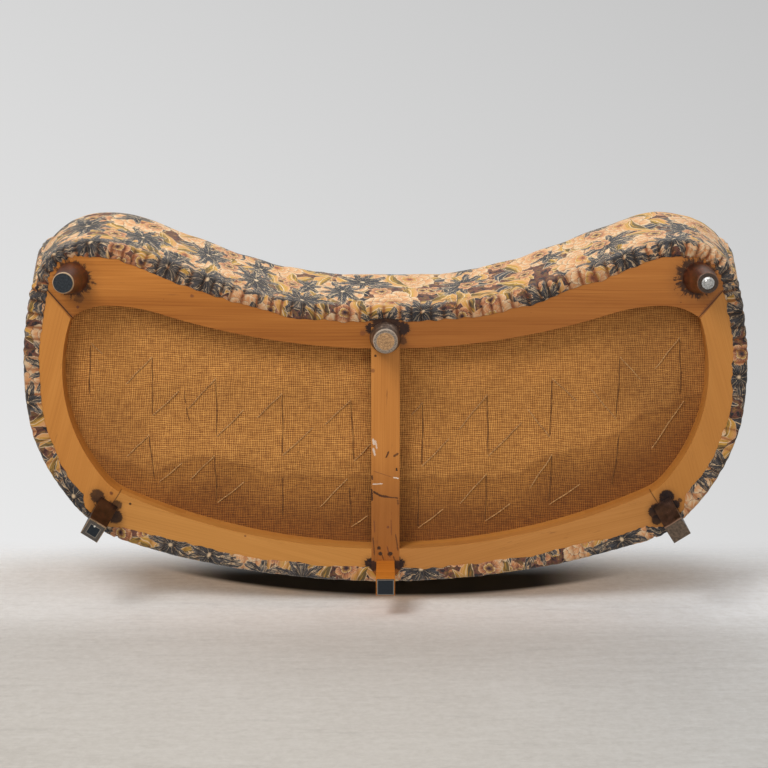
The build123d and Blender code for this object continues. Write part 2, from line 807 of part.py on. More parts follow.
def station_corners(share):
    """The two ends of a line across the wall on the plan, inner end first."""
    return [wall_spot(share, reach) for reach in (-overrun, overrun)]


# Cloth turned under the rails, cut out round the legs and posts
hem_base = leg_height - hem_thickness
front_right, front_left = station_corners(1), station_corners(-1)
rear_right, rear_left = station_corners(corner_share), station_corners(-corner_share)
hem_zones = {
    "front_hem": (*front_right, (far_x, far_front), (-far_x, far_front), *front_left[::-1], (0, 0)),
    "side_hem_right": (*front_right, (far_x, 0), (far_x, far_back), *rear_right[::-1]),
    "side_hem_left": (*front_left, (-far_x, 0), (-far_x, far_back), *rear_left[::-1]),
    "rear_hem": (*rear_right, (0, far_back), *rear_left[::-1], (0, 0)),
}
for name, corners in hem_zones.items():
    with BuildPart() as hem:
        extrude(plan_face(cover_line, hem_base), amount=hem_thickness)
        extrude(plan_face(-hem_reach, hem_base), amount=hem_thickness, mode=Mode.SUBTRACT)
        extrude(cut_region(*corners, height=hem_base), amount=hem_thickness, mode=Mode.INTERSECT)
        extrude(post_sockets(notch_gap, hem_base), amount=hem_thickness, mode=Mode.SUBTRACT)
        for place, _, _ in turned_legs.values():
            with Locations(Location((place.origin.X, place.origin.Y, hem_base))):
                Cylinder(leg_root_radius + notch_gap, 2 * hem_thickness, mode=Mode.SUBTRACT)
    hem.part.label = name
    export_step(hem.part, f"parts/{name}.step")

# Screws that hold the back end of the stretcher to the rail above it
with BuildPart() as stretcher_screws:
    for spot in screw_spots:
        with Locations(spot):
            Cylinder(screw_head_radius, screw_head_height, align=upwards)
            Cylinder(screw_shank_radius, screw_length, align=upwards)
stretcher_screws.part.label = "stretcher_screws"
export_step(stretcher_screws.part, "parts/stretcher_screws.step")
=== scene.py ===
import math

import bmesh
import bpy
import numpy as np
from mathutils import Matrix, Vector, kdtree, noise
from mathutils.bvhtree import BVHTree


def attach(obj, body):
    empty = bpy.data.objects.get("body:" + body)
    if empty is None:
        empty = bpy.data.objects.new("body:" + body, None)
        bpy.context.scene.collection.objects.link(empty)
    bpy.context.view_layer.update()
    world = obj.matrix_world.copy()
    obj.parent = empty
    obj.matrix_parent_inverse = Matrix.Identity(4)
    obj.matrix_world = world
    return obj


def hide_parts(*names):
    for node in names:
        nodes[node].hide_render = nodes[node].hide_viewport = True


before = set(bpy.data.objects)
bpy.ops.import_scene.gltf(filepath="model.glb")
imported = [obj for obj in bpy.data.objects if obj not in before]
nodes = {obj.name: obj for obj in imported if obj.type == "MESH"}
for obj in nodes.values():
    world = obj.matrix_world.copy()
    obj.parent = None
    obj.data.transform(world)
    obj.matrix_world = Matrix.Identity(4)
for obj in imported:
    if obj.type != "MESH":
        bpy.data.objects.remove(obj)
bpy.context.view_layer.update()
print("frame loaded:", len(nodes), "nodes")

# the frame's own outline, in metres and in shares of it, as the joiner set it out
outline = {
    "halfWidth": 0.818,
    "depth": 0.779,
    "middle": 0.42022,
    "hollow": 0.151 / 0.779,
    "flat": 0.072,
    "shares": [
        (0.4798, 0.1145),
        (0.7126, 0.0207),
        (0.8182, 0.0),
        (0.9693, 0.1262),
        (1.0, 0.4095),
        (0.8115, 0.8348),
        (0.7522, 0.8698),
        (0.0, 1.0),
    ],
    "legHeight": 0.125,
    "lean": math.tan(math.radians(8.5)),
    "legs": {
        "frontLeft": (-0.7149, -0.3540),
        "frontRight": (0.7149, -0.3540),
        "frontCentre": (0.0, -0.2146),
        "rearLeft": (-0.6593, 0.1975),
        "rearRight": (0.6593, 0.1975),
        "rearCentre": (0.0, 0.3408),
    },
}


def planPoint(share):
    return np.array([share[0] * outline["halfWidth"], share[1] * outline["depth"] - outline["middle"]])


def outlineSamples(step=0.004):
    # straight runs and tangent arcs from the middle of the front round to the middle of the back
    points, normals = [], []
    spot = planPoint((0, outline["hollow"]))
    heading = np.array([1.0, 0.0])
    ends = [planPoint((outline["flat"], outline["hollow"]))] + [planPoint(s) for s in outline["shares"]]
    for end in ends:
        chord = end - spot
        length = np.linalg.norm(chord)
        cross = heading[0] * chord[1] - heading[1] * chord[0]
        bend = math.asin(max(-1, min(1, cross / length)))
        count = max(2, round(length / step))
        for k in range(count):
            turn = 2 * bend * k / count
            if abs(bend) < 1e-4:
                place, way = spot + chord * k / count, heading
            else:
                radius = length / (2 * math.sin(bend))
                left = np.array([-heading[1], heading[0]])
                place = spot + radius * (math.sin(turn) * heading + (1 - math.cos(turn)) * left)
                way = math.cos(turn) * heading + math.sin(turn) * left
            points.append(place)
            normals.append((way[1], -way[0]))
        heading = math.cos(2 * bend) * heading + math.sin(2 * bend) * np.array([-heading[1], heading[0]])
        spot = end
    points.append(spot)
    normals.append((0.0, 1.0))
    points, normals = np.array(points), np.array(normals)
    run = np.concatenate([[0], np.cumsum(np.linalg.norm(np.diff(points, axis=0), axis=1))])
    return points, normals, run


edgePoints, edgeNormals, edgeRun = outlineSamples()
halfRun = float(edgeRun[-1])
edgeTree = kdtree.KDTree(len(edgePoints))
for index, point in enumerate(edgePoints):
    edgeTree.insert((point[0], point[1], 0), index)
edgeTree.balance()


def edgePlace(x, y):
    # run along the outline from the middle of the front, and the distance outside it
    _, index, _ = edgeTree.find((abs(x), y, 0))
    offset = np.array([abs(x), y]) - edgePoints[index]
    away = float(offset @ edgeNormals[index])
    return float(edgeRun[index]), away


def edgeSpot(run, away):
    # the place on the plan at a signed run from the middle of the front
    side = -1 if run < 0 else 1
    run = abs(run)
    if run > halfRun:
        side, run = -side, 2 * halfRun - run
    x = np.interp(run, edgeRun, edgePoints[:, 0])
    y = np.interp(run, edgeRun, edgePoints[:, 1])
    nx = np.interp(run, edgeRun, edgeNormals[:, 0])
    ny = np.interp(run, edgeRun, edgeNormals[:, 1])
    return side * (x + nx * away), y + ny * away


class Val:
    # one output of a node, so that shader maths reads as Python
    def __init__(self, finish, out):
        self.finish = finish
        self.out = out

    def op(self, kind, *others):
        return self.finish.node("ShaderNodeMath", {"operation": kind}, dict(enumerate((self, *others))))

    def __add__(self, other):
        return self.op("ADD", other)

    def __sub__(self, other):
        return self.op("SUBTRACT", other)

    def __mul__(self, other):
        return self.op("MULTIPLY", other)

    def __truediv__(self, other):
        return self.op("DIVIDE", other)

    def __pow__(self, other):
        return self.op("POWER", other)

    def __rsub__(self, other):
        return self.finish.node("ShaderNodeMath", {"operation": "SUBTRACT"}, {0: other, 1: self})

    def __abs__(self):
        return self.op("ABSOLUTE")

    __radd__ = __add__
    __rmul__ = __mul__

    def get(self, name):
        return Val(self.finish, self.out.node.outputs[name])

    def parts(self):
        split = self.finish.node("ShaderNodeSeparateXYZ", {}, {0: self})
        return split, split.get("Y"), split.get("Z")

    def step(self, low, high):
        # 0 below low, 1 above high, smooth between
        ranged = {"interpolation_type": "SMOOTHSTEP"}
        values = {"Value": self, "From Min": low, "From Max": high}
        return self.finish.node("ShaderNodeMapRange", ranged, values)

    def ramp(self, *stops):
        return self.finish.node("ShaderNodeValToRGB", {"stops": stops}, {0: self})


class Finish:
    # a material and the nodes that paint it
    def __init__(self, name, **sockets):
        self.material = bpy.data.materials.new(name)
        self.material.use_nodes = True
        self.tree = self.material.node_tree
        self.shader = self.tree.nodes["Principled BSDF"]
        for key, value in sockets.items():
            self.feed(self.shader.inputs[key.replace("_", " ")], value)

    def feed(self, socket, value):
        if isinstance(value, Val):
            self.tree.links.new(value.out, socket)
        elif socket.type == "RGBA" and len(value) == 3:
            socket.default_value = (*value, 1)
        else:
            socket.default_value = value

    def node(self, kind, settings=None, sockets=None, out=0):
        made = self.tree.nodes.new(kind)
        for key, value in (settings or {}).items():
            if key == "stops":
                elements = made.color_ramp.elements
                while len(elements) < len(value):
                    elements.new(0.5)
                for element, (place, colour) in zip(elements, value):
                    element.position = place
                    element.color = (*colour, 1)
            else:
                setattr(made, key, value)
        for key, value in (sockets or {}).items():
            self.feed(made.inputs[key], value)
        return Val(self, made.outputs[out])

    def objectPlace(self):
        return self.node("ShaderNodeTexCoord", {}, {}, "Object")

    def clothPlace(self):
        return self.node("ShaderNodeUVMap", {"uv_map": "cloth"})

    def noise(self, where, scale, detail=2.0, rough=0.5, out=0):
        values = {"Vector": where, "Scale": scale, "Detail": detail, "Roughness": rough}
        return self.node("ShaderNodeTexNoise", {"noise_dimensions": "3D"}, values, out)

    def vector(self, kind, a, b, out=0):
        return self.node("ShaderNodeVectorMath", {"operation": kind}, {0: a, 1: b}, out)

    def join(self, x, y, z=0.0):
        return self.node("ShaderNodeCombineXYZ", {}, {0: x, 1: y, 2: z})

    def mix(self, share, a, b, kind="MIX"):
        made = self.tree.nodes.new("ShaderNodeMix")
        made.data_type = "RGBA"
        made.blend_type = kind
        self.feed(made.inputs[0], share)
        self.feed(made.inputs[6], a)
        self.feed(made.inputs[7], b)
        return Val(self, made.outputs[2])

    def tint(self, share, colour, tone):
        # the colour, multiplied by a tone by this share
        return self.mix(share, colour, self.mix(1.0, colour, tone, "MULTIPLY"))

    def attribute(self, name):
        return self.node("ShaderNodeAttribute", {"attribute_name": name}, {}, "Fac")

    def paint(self, colour, roughness=None):
        self.feed(self.shader.inputs["Base Color"], colour)
        if roughness is not None:
            self.feed(self.shader.inputs["Roughness"], roughness)

    def bump(self, height, distance, strength):
        made = self.tree.nodes.new("ShaderNodeBump")
        made.inputs["Strength"].default_value = strength
        made.inputs["Distance"].default_value = distance
        self.feed(made.inputs["Height"], height)
        self.tree.links.new(made.outputs[0], self.shader.inputs["Normal"])


# printed cotton: sizes in metres, colours in linear light
prints = {
    "threads": 1100.0,
    "leafReach": 0.045,
    "golds": ("olive", "ochre", "peach", "cream"),
    "greys": ("charcoal", "slate", "slate", "cream"),
    # rings of petals: size, number, how deep they are parted, and tones from foot to rim
    "bud": (
        (1.0, 5, 0.62, ("rose", "rose", "salmon", "peach")),
        (0.5, 4, 0.70, ("charcoal", "rose", "ochre", "cream")),
    ),
    "flower": (
        (1.00, 7, 0.70, ("rose", "salmon", "peach", "cream")),
        (0.76, 6, 0.66, ("rose", "salmon", "peach", "cream")),
        (0.53, 5, 0.66, ("salmon", "salmon", "peach", "cream")),
        (0.30, 4, 0.66, ("rose", "salmon", "ochre", "cream")),
    ),
    "petalStops": (0.12, 0.46, 0.80, 1.02),
    "worn": (0.50, 0.36, 0.24),
    "soil": (0.31, 0.170, 0.092),
    "gapTone": (0.02, 0.02, 0.02),
}
ink = {
    "charcoal": (0.014, 0.014, 0.017),
    "slate": (0.072, 0.072, 0.084),
    "cream": (0.90, 0.69, 0.43),
    "peach": (0.84, 0.42, 0.17),
    "salmon": (0.66, 0.25, 0.085),
    "rose": (0.22, 0.070, 0.042),
    "ochre": (0.70, 0.39, 0.045),
    "olive": (0.15, 0.10, 0.028),
}


def motif(finish, where, cell, shift, loose):
    # coordinates from the nearest motif's middle, and two random numbers for it
    moved = finish.vector("ADD", where, (shift, shift * 0.61, 0))
    cells = {"voronoi_dimensions": "2D", "feature": "F1"}
    values = {"Vector": moved, "Scale": 1 / cell, "Randomness": loose}
    found = finish.node("ShaderNodeTexVoronoi", cells, values)
    x, y, _ = finish.vector("SUBTRACT", moved, found.get("Position")).parts()
    spin, pick, _ = found.get("Color").parts()
    return x, y, spin, pick


def polar(finish, x, y, spin):
    # angle, distance, broad brush marks and fine strokes that run out from the middle
    angle = y.op("ARCTAN2", x) + spin * math.tau
    away = (x * x + y * y).op("SQRT")
    across, up = angle.op("COSINE"), angle.op("SINE")
    brush = finish.noise(finish.join(across * 3.2, up * 3.2, away * 18), 2.6, 3.0, 0.75)
    strokes = finish.noise(finish.join(across * 9.0, up * 9.0, away * 14), 2.6, 2.0, 0.6)
    return angle, away, brush, strokes


def bloom(finish, colour, where, cell, reach, shift, keep, rings, loose=0.75):
    # an open flower: rings of petals, dark at their foot and pale at their rim
    x, y, spin, pick = motif(finish, where, cell, shift, loose)
    angle, away, brush, strokes = polar(finish, x, y, spin)
    chosen = pick.step(keep, keep + 0.001)
    for size, petals, low, tones in rings:
        wave = abs((angle * (petals / 2) + size * 2.1).op("COSINE"))
        edge = (wave**0.5 * (1 - low) + low) * (reach * size) * (0.9 + brush * 0.2)
        share = away / edge
        inside = 1 - share
        toned = share + (brush - 0.5) * 0.9
        tone = toned.ramp(*zip(prints["petalStops"], (ink[tone] for tone in tones)))
        tone = finish.mix(strokes.step(0.53, 0.62) * share.step(0.25, 0.6) * 0.7, tone, ink["cream"])
        crease = (1 - wave.step(0.03, 0.22)) * share.step(0.25, 0.6)
        tone = finish.mix(crease * 0.85, tone, ink[tones[0]])
        rim = finish.mix((inside + (brush - 0.5) * 0.14).step(0.02, 0.06), ink["cream"], tone)
        rim = finish.mix((inside + (strokes - 0.5) * 0.05).step(0.010, 0.030), ink["rose"], rim)
        colour = finish.mix(inside.step(-0.004, 0.008) * chosen, colour, rim)
    return colour


def leafStar(finish, colour, where, cell, reach, shift, keep, points):
    # dark pointed leaves round a pale middle, drawn over with pale veins
    x, y, spin, pick = motif(finish, where, cell, shift, 0.85)
    angle, away, brush, strokes = polar(finish, x, y, spin)
    chosen = pick.step(keep, keep + 0.001)
    bent = angle + (brush - 0.5) * 0.6
    swing = abs((bent * (points / 2)).op("SINE"))
    longer = (angle * 2 + 1.3).op("SINE") * 0.14 + 0.82
    edge = (1 - swing**1.5 * 0.54) * longer * reach * (0.84 + brush * 0.34)
    share = away / edge
    inside = 1 - share
    tone = (brush + share * 0.22).ramp((0.54, ink["charcoal"]), (0.77, ink["slate"]), (1.00, ink["cream"]))
    tone = finish.mix(strokes.step(0.60, 0.66) * (0.14 + share.step(0.1, 0.5) * 0.46), tone, ink["cream"])
    vein = (1 - swing.step(0.03, 0.16)) * (1 - share.step(0.45, 1.0))
    tone = finish.mix(vein, tone, ink["cream"])
    middle = 1 - (away / reach).step(0.02, 0.08)
    tone = finish.mix(middle, tone, ink["cream"])
    rim = finish.mix((inside + (brush - 0.56) * 0.30).step(0.0, 0.06), ink["cream"], tone)
    return finish.mix(inside.step(0.0, 0.02) * chosen, colour, rim)


def longLeaf(finish, colour, where, cell, shift, keep, reach, plump, tones):
    # one curved leaf with a rib and a pale edge
    x, y, spin, pick = motif(finish, where, cell, shift, 0.95)
    turn = spin * math.tau
    along = x * turn.op("COSINE") + y * turn.op("SINE")
    across = y * turn.op("COSINE") - x * turn.op("SINE") + along * along * 9.0
    inside = (1 - (along / reach) ** 2) * (reach * plump) - abs(across)
    brush = finish.noise(finish.join(along * 30, across * 420, spin * 9), 1.0, 3.0, 0.6)
    foot, middle, tip, pale = (ink[tone] for tone in tones)
    tone = (brush + across * 14).ramp((0.34, foot), (0.50, middle), (0.74, tip))
    tone = finish.mix(1 - abs(across).step(0.0004, 0.0016), tone, pale)
    rim = finish.mix((inside + (brush - 0.5) * 0.004).step(0.0004, 0.0020), pale, tone)
    return finish.mix(inside.step(-0.0003, 0.0006) * pick.step(keep, keep + 0.001), colour, rim)


def floralCloth(name):
    # flowers and leaves over a blotched ground, then threads, fading, and soil with painted shade
    finish = Finish(name, Roughness=0.80)
    place = finish.clothPlace()
    wander = finish.vector("SUBTRACT", finish.noise(place, 26.0, 2.0, 0.5, "Color"), (0.5, 0.5, 0.5))
    drawn = finish.vector("ADD", place, finish.vector("MULTIPLY", wander, (0.012, 0.012, 0.0)))
    blotch = finish.noise(drawn, 60.0, 3.0, 0.65)
    ground = ((0.40, "charcoal"), (0.50, "rose"), (0.58, "olive"), (0.68, "salmon"))
    colour = blotch.ramp(*((stop, ink[tone]) for stop, tone in ground))
    leaf, golds = prints["leafReach"], prints["golds"]
    for draw, *values in (
        (bloom, 0.064, 0.026, 2.2, 0.10, prints["bud"], 0.9),
        (longLeaf, 0.090, 8.1, 0.00, leaf * 0.95, 0.36, prints["greys"]),
        (longLeaf, 0.086, 3.7, 0.10, leaf, 0.40, golds),
        (longLeaf, 0.098, 6.4, 0.20, leaf * 1.15, 0.32, golds),
        (bloom, 0.138, 0.068, 0.0, 0.12, prints["flower"]),
        (longLeaf, 0.120, 11.3, 0.45, leaf * 1.2, 0.34, golds),
        (leafStar, 0.112, 0.056, 9.4, 0.34, 6),
        (leafStar, 0.138, 0.086, 1.3, 0.22, 9),
        (bloom, 0.095, 0.027, 5.2, 0.66, prints["bud"], 0.9),
    ):
        colour = draw(finish, colour, drawn, *values)
    u, v, _ = place.parts()
    turns = math.tau * prints["threads"]
    thread = (u * turns).op("SINE") * (v * turns).op("SINE") * 0.5 + 0.5
    worn = finish.noise(place, 4.0, 3.0, 0.6).step(0.4, 0.85)
    colour = finish.mix(worn * 0.10, colour, prints["worn"])
    colour = finish.mix(thread * 0.08, colour, prints["gapTone"])
    # soil and painted shade: darker where the vertex attribute says, on the hem, its creases and the lower
    # cloth
    soil = finish.attribute("soil")
    patchy = soil * (0.75 + finish.noise(place, 17.0, 3.0) * 0.5)
    colour = finish.tint((patchy * 0.58).step(0.0, 1.0), colour, prints["soil"])
    finish.paint(colour)
    finish.shader.inputs["Sheen Weight"].default_value = 0.08
    finish.bump(thread * 0.5 + finish.noise(place, 220.0, 2.0), 0.0004, 0.45)
    return finish.material


pineLook = {
    "pale": (0.68, 0.300, 0.066),
    "middle": (0.520, 0.205, 0.036),
    "dark": (0.345, 0.115, 0.015),
    "halo": (0.19, 0.07, 0.02),
    "stain": (0.017, 0.008, 0.007),
    "scuff": (0.12, 0.035, 0.012),
    "fleck": (0.07, 0.02, 0.01),
    "dirt": (0.16, 0.055, 0.015),
    "gap": (0.022, 0.008, 0.004),
}


def stainEdge(finish, place, x, y, fine):
    # distance from a spot under the rails, broken up into brushed spikes
    apart = finish.vector("SUBTRACT", place, (x, y, outline["legHeight"]))
    away = finish.vector("LENGTH", apart, (0, 0, 0), "Value")
    aim = finish.node("ShaderNodeVectorMath", {"operation": "NORMALIZE"}, {0: apart})
    spikes = finish.noise(aim, 7.0, 3.0, 0.7)
    return away, (spikes - 0.5) * 1.1 + (fine - 0.5) * 1.3


def scratch(finish, colour, x, y, ragged, line):
    # a gash or smear between two places, thickest in its middle
    (x0, y0), (x1, y1), width, tone, depth = line
    length = math.hypot(x1 - x0, y1 - y0)
    wayX, wayY = (x1 - x0) / length, (y1 - y0) / length
    along = ((x - x0) * wayX + (y - y0) * wayY) / length
    across = abs((x - x0) * wayY - (y - y0) * wayX)
    swell = along * (1 - along) * 4
    inside = swell.step(0.0, 0.6) * width - across + (ragged - 0.5) * (width * 2.0)
    return finish.mix(inside.step(0.0, width * 0.4) * swell.step(0.0, 0.08) * depth, colour, tone)


def pine(name, angle, tint, cracks=0.0, grain=1.0, shade=None, stains=(), marks=(), seams=(), lines=()):
    # old softwood under thin varnish, its grain along the board
    finish = Finish(name, Specular_IOR_Level=0.22, Coat_Weight=0.05, Coat_Roughness=0.35)
    place = finish.objectPlace()
    flatX, flatY, _ = place.parts()
    x, y, z = finish.node("ShaderNodeMapping", {}, {"Vector": place, "Rotation": (0, 0, -angle)}).parts()
    drift = finish.noise(finish.join(x * 1.1, y * 3.0, z * 3.0), 1.0, 2.0)
    bent = y + drift * 0.035
    rays = finish.noise(finish.join(x * 3.4, bent * 420.0, z * 240.0), 1.0, 4.0, 0.65)
    broad = finish.noise(finish.join(x * 1.4, bent * 42.0, z * 30.0), 1.0, 2.0)
    late = ((bent * 780.0).op("SINE") * 0.5 + 0.5) ** 4 * broad.step(0.4, 0.7)
    cloud = finish.noise(place, 4.5, 3.0)
    tones = (pineLook[key] for key in ("pale", "middle", "dark"))
    pale, middle, dark = (tuple(c * t for c, t in zip(tone, tint)) for tone in tones)
    colour = (rays * 0.55 + broad * 0.30 + late * 0.10).ramp((0.30, pale), (0.44, middle), (0.60, dark))
    even = tuple(p * 0.35 + m * 0.65 for p, m in zip(pale, middle))
    colour = finish.mix(1 - grain * 0.85, colour, even)
    colour = finish.mix(cloud.step(0.38, 0.72) * 0.40, colour, middle)
    # darker towards one end of the board; on the front rails this is painted shade
    if shade:
        low, high, deeper = shade
        colour = finish.tint(flatY.step(low, high), colour, deeper)
    rough = finish.noise(place, 90.0, 4.0, 0.75)
    for spotX, spotY, reach, depth, *brushed in stains:
        away, broken = stainEdge(finish, place, spotX, spotY, rough)
        broken = broken * (brushed[0] if brushed else 1.0)
        near = 1 - (away / reach + broken).step(0.84, 1.06)
        halo = 1 - (away / reach + broken * 0.5).step(0.9, 1.7)
        colour = finish.mix(halo * 0.30 * depth, colour, pineLook["halo"])
        colour = finish.mix(near * (0.84 + rough * 0.32) * depth, colour, pineLook["stain"])
    scuff = finish.noise(finish.join(x * 14.0, y * 90.0, z * 60.0), 1.0, 4.0, 0.7)
    scuffed = scuff.step(0.66 - cracks * 0.12, 0.74) * (0.25 + cracks * 0.6)
    colour = finish.mix(scuffed, colour, pineLook["scuff"])
    flecks = finish.noise(finish.join(x * 60.0, y * 130.0, z * 90.0), 1.0, 1.0).step(0.80, 0.84)
    colour = finish.mix(flecks * 0.8, colour, pineLook["fleck"])
    for spotX, spotY, reach, tone, depth in marks:
        away, broken = stainEdge(finish, place, spotX, spotY, rough)
        colour = finish.mix((1 - (away / reach + broken).step(0.6, 1.05)) * depth, colour, tone)
    if lines:
        ragged = finish.noise(place, 420.0, 2.0, 0.6)
        for line in lines:
            colour = scratch(finish, colour, flatX, flatY, ragged, line)
    for (x0, y0), (x1, y1), width in seams:
        length = math.hypot(x1 - x0, y1 - y0)
        normal = ((y1 - y0) / length, (x0 - x1) / length)
        across = abs((flatX - x0) * normal[0] + (flatY - y0) * normal[1])
        dirty = 1 - across.step(width * 0.5, width * 5)
        colour = finish.mix(dirty * 0.35, colour, pineLook["dirt"])
        colour = finish.mix((1 - across.step(width * 0.6, width)) * 0.92, colour, pineLook["gap"])
    finish.paint(colour, 0.38 + rays * 0.2)
    finish.bump(rays * 0.7 * grain + scuff * 0.5, 0.0005, 0.4)
    return finish.material


legLook = {
    "rings": (0.16, 0.085, 0.04),
    "chips": (0.13, 0.075, 0.045),
    "weathered": ((0.085, 0.062, 0.048), (0.36, 0.28, 0.21)),
    "lathe": (0.0, -0.23146, 0.0275),
    "oxblood": (0.145, 0.034, 0.011),
    "rubbed": (0.50, 0.34, 0.20),
    "paleEnd": (0.42, 0.28, 0.16),
}


def stainedWood(name, dark, worn, tip, tipColour, scuffs, turned=False):
    # turned or squared leg: stain over pale wood, rubbed through at the edges near the floor
    finish = Finish(name, Coat_Weight=0.22, Coat_Roughness=0.18, Specular_IOR_Level=0.25)
    place = finish.objectPlace()
    x, y, z = place.parts()
    fibre = finish.noise(finish.join(x * 420.0, y * 420.0, z * 9.0), 1.0, 3.0)
    cloud = finish.noise(place, 38.0, 3.0, 0.6)
    colour = (fibre * 0.45 + cloud * 0.55).ramp((0.40, tuple(c * 0.16 for c in dark)), (0.62, dark))
    rub = (cloud * 0.7 + fibre * 0.3).step(0.62 - scuffs * 0.1, 0.72)
    colour = finish.mix(rub * scuffs, colour, worn)
    low = 1 - (z + (cloud - 0.5) * 0.012).step(tip, tip + 0.006)
    colour = finish.mix(low * 0.9, colour, worn)
    normal = finish.node("ShaderNodeNewGeometry", {}, {}, "True Normal")
    _, _, facing = normal.parts()
    end = 1 - facing.step(-0.97, -0.9)
    deep = tuple(c * 0.4 for c in tipColour)
    ends = finish.noise(place, 160.0, 3.0, 0.7).ramp((0.35, deep), (0.65, tipColour))
    if turned:
        # turning rings on the bare end, and the dark rim where it was parted off
        middleX, middleY, radius = legLook["lathe"]
        away = ((x - middleX) ** 2 + (y - middleY) ** 2).op("SQRT") + (cloud - 0.5) * 0.002
        rings = (away * 1700.0).op("SINE") * 0.5 + 0.5
        ends = finish.mix(rings * 0.40, ends, legLook["rings"])
        chips = finish.noise(place, 430.0, 3.0, 0.75)
        ends = finish.mix(chips.step(0.52, 0.62) * 0.55, ends, legLook["chips"])
        weathered = chips.ramp(*zip((0.38, 0.64), legLook["weathered"]))
        ends = finish.mix(away.step(radius * 0.70, radius * 0.77), ends, weathered)
        groove = 1 - abs(away - radius * 0.74).step(0.0002, 0.0008)
        bright = away.step(radius * 0.93, radius * 0.98) + groove
        ends = finish.mix(bright * chips.step(0.40, 0.52) * 0.7, ends, worn)
    colour = finish.mix(end * (1 - z.step(0.004, 0.006)), colour, ends)
    finish.paint(colour, 0.32 + fibre * 0.25)
    finish.bump(fibre + cloud * 0.5, 0.0004, 0.35)
    return finish.material


def plainFinish(name, dark, light, scale, roughness, metallic=0.0, depth=0.0004, stretch=(1, 1, 1)):
    # mottled surface between two tones: felt, rubber, metal or hidden timber
    finish = Finish(name, Metallic=metallic, Specular_IOR_Level=0.3)
    place = finish.node("ShaderNodeMapping", {}, {"Vector": finish.objectPlace(), "Scale": stretch})
    grain = finish.noise(place, scale, 4.0, 0.65)
    finish.paint(grain.ramp((0.35, dark), (0.68, light)), roughness + (grain - 0.5) * 0.2)
    finish.bump(grain, depth, 0.4)
    return finish.material


padLook = {
    "half": (0.019, 0.020),
    "slate": (0.014, 0.018, 0.023),
    "border": (0.085, 0.070, 0.058),
    "edge": (0.30, 0.25, 0.20),
    "nail": (0.62, 0.58, 0.50),
    "nailReach": 0.0026,
    "worn": (0.55, 0.55, 0.55),
}


def squarePad(name, middle, turn, start, nail=None):
    # slate felt glued to the foot, its border left bare
    finish = Finish(name, Specular_IOR_Level=0.3)
    place = finish.objectPlace()
    x, y, _ = place.parts()
    x, y = x - middle[0], y - middle[1]
    cos, sin = math.cos(math.radians(turn)), math.sin(math.radians(turn))
    along, across = abs(x * cos + y * sin), abs(y * cos - x * sin)
    grain = finish.noise(place, 260.0, 4.0, 0.65)
    halfLong, halfWide = padLook["half"]
    reach = (along * (1 / halfLong)).op("MAXIMUM", across * (1 / halfWide)) + (grain - 0.5) * 0.05
    colour = finish.mix(reach.step(start, start + 0.03), padLook["slate"], padLook["border"])
    line = 1 - abs(reach - start - 0.015).step(0.01, 0.05)
    colour = finish.mix(line * 0.8, colour, padLook["edge"])
    colour = finish.tint(grain.step(0.35, 0.70) * 0.45, colour, padLook["worn"])
    if nail:
        away = ((x - nail[0] + middle[0]) ** 2 + (y - nail[1] + middle[1]) ** 2).op("SQRT")
        head = 1 - away.step(padLook["nailReach"] * 0.7, padLook["nailReach"])
        colour = finish.mix(head, colour, padLook["nail"])
    finish.paint(colour, 0.8 + (grain - 0.5) * 0.2)
    finish.bump(grain, 0.0004, 0.4)
    return finish.material


hessianLook = {
    "pitch": 0.0042,
    "pale": (0.80, 0.382, 0.092),
    "middle": (0.380, 0.144, 0.026),
    "dark": (0.120, 0.036, 0.006),
    "dust": (0.16, 0.07, 0.025),
    "speck": (0.08, 0.03, 0.01),
    "damp": (0.77, 0.72, 0.61),
    "tide": (0.13, 0.045, 0.010),
    "lower": (0.66, 0.58, 0.47),
    # painted shade: the tone, and the patches (place, reach, depth), where the hessian is darker beside the
    # frame's side walls
    "paintedShade": (0.40, 0.34, 0.24),
    "spots": (((0.66, -0.15, 0.178), 0.22, 0.42), ((-0.65, 0.05, 0.178), 0.15, 0.30)),
}


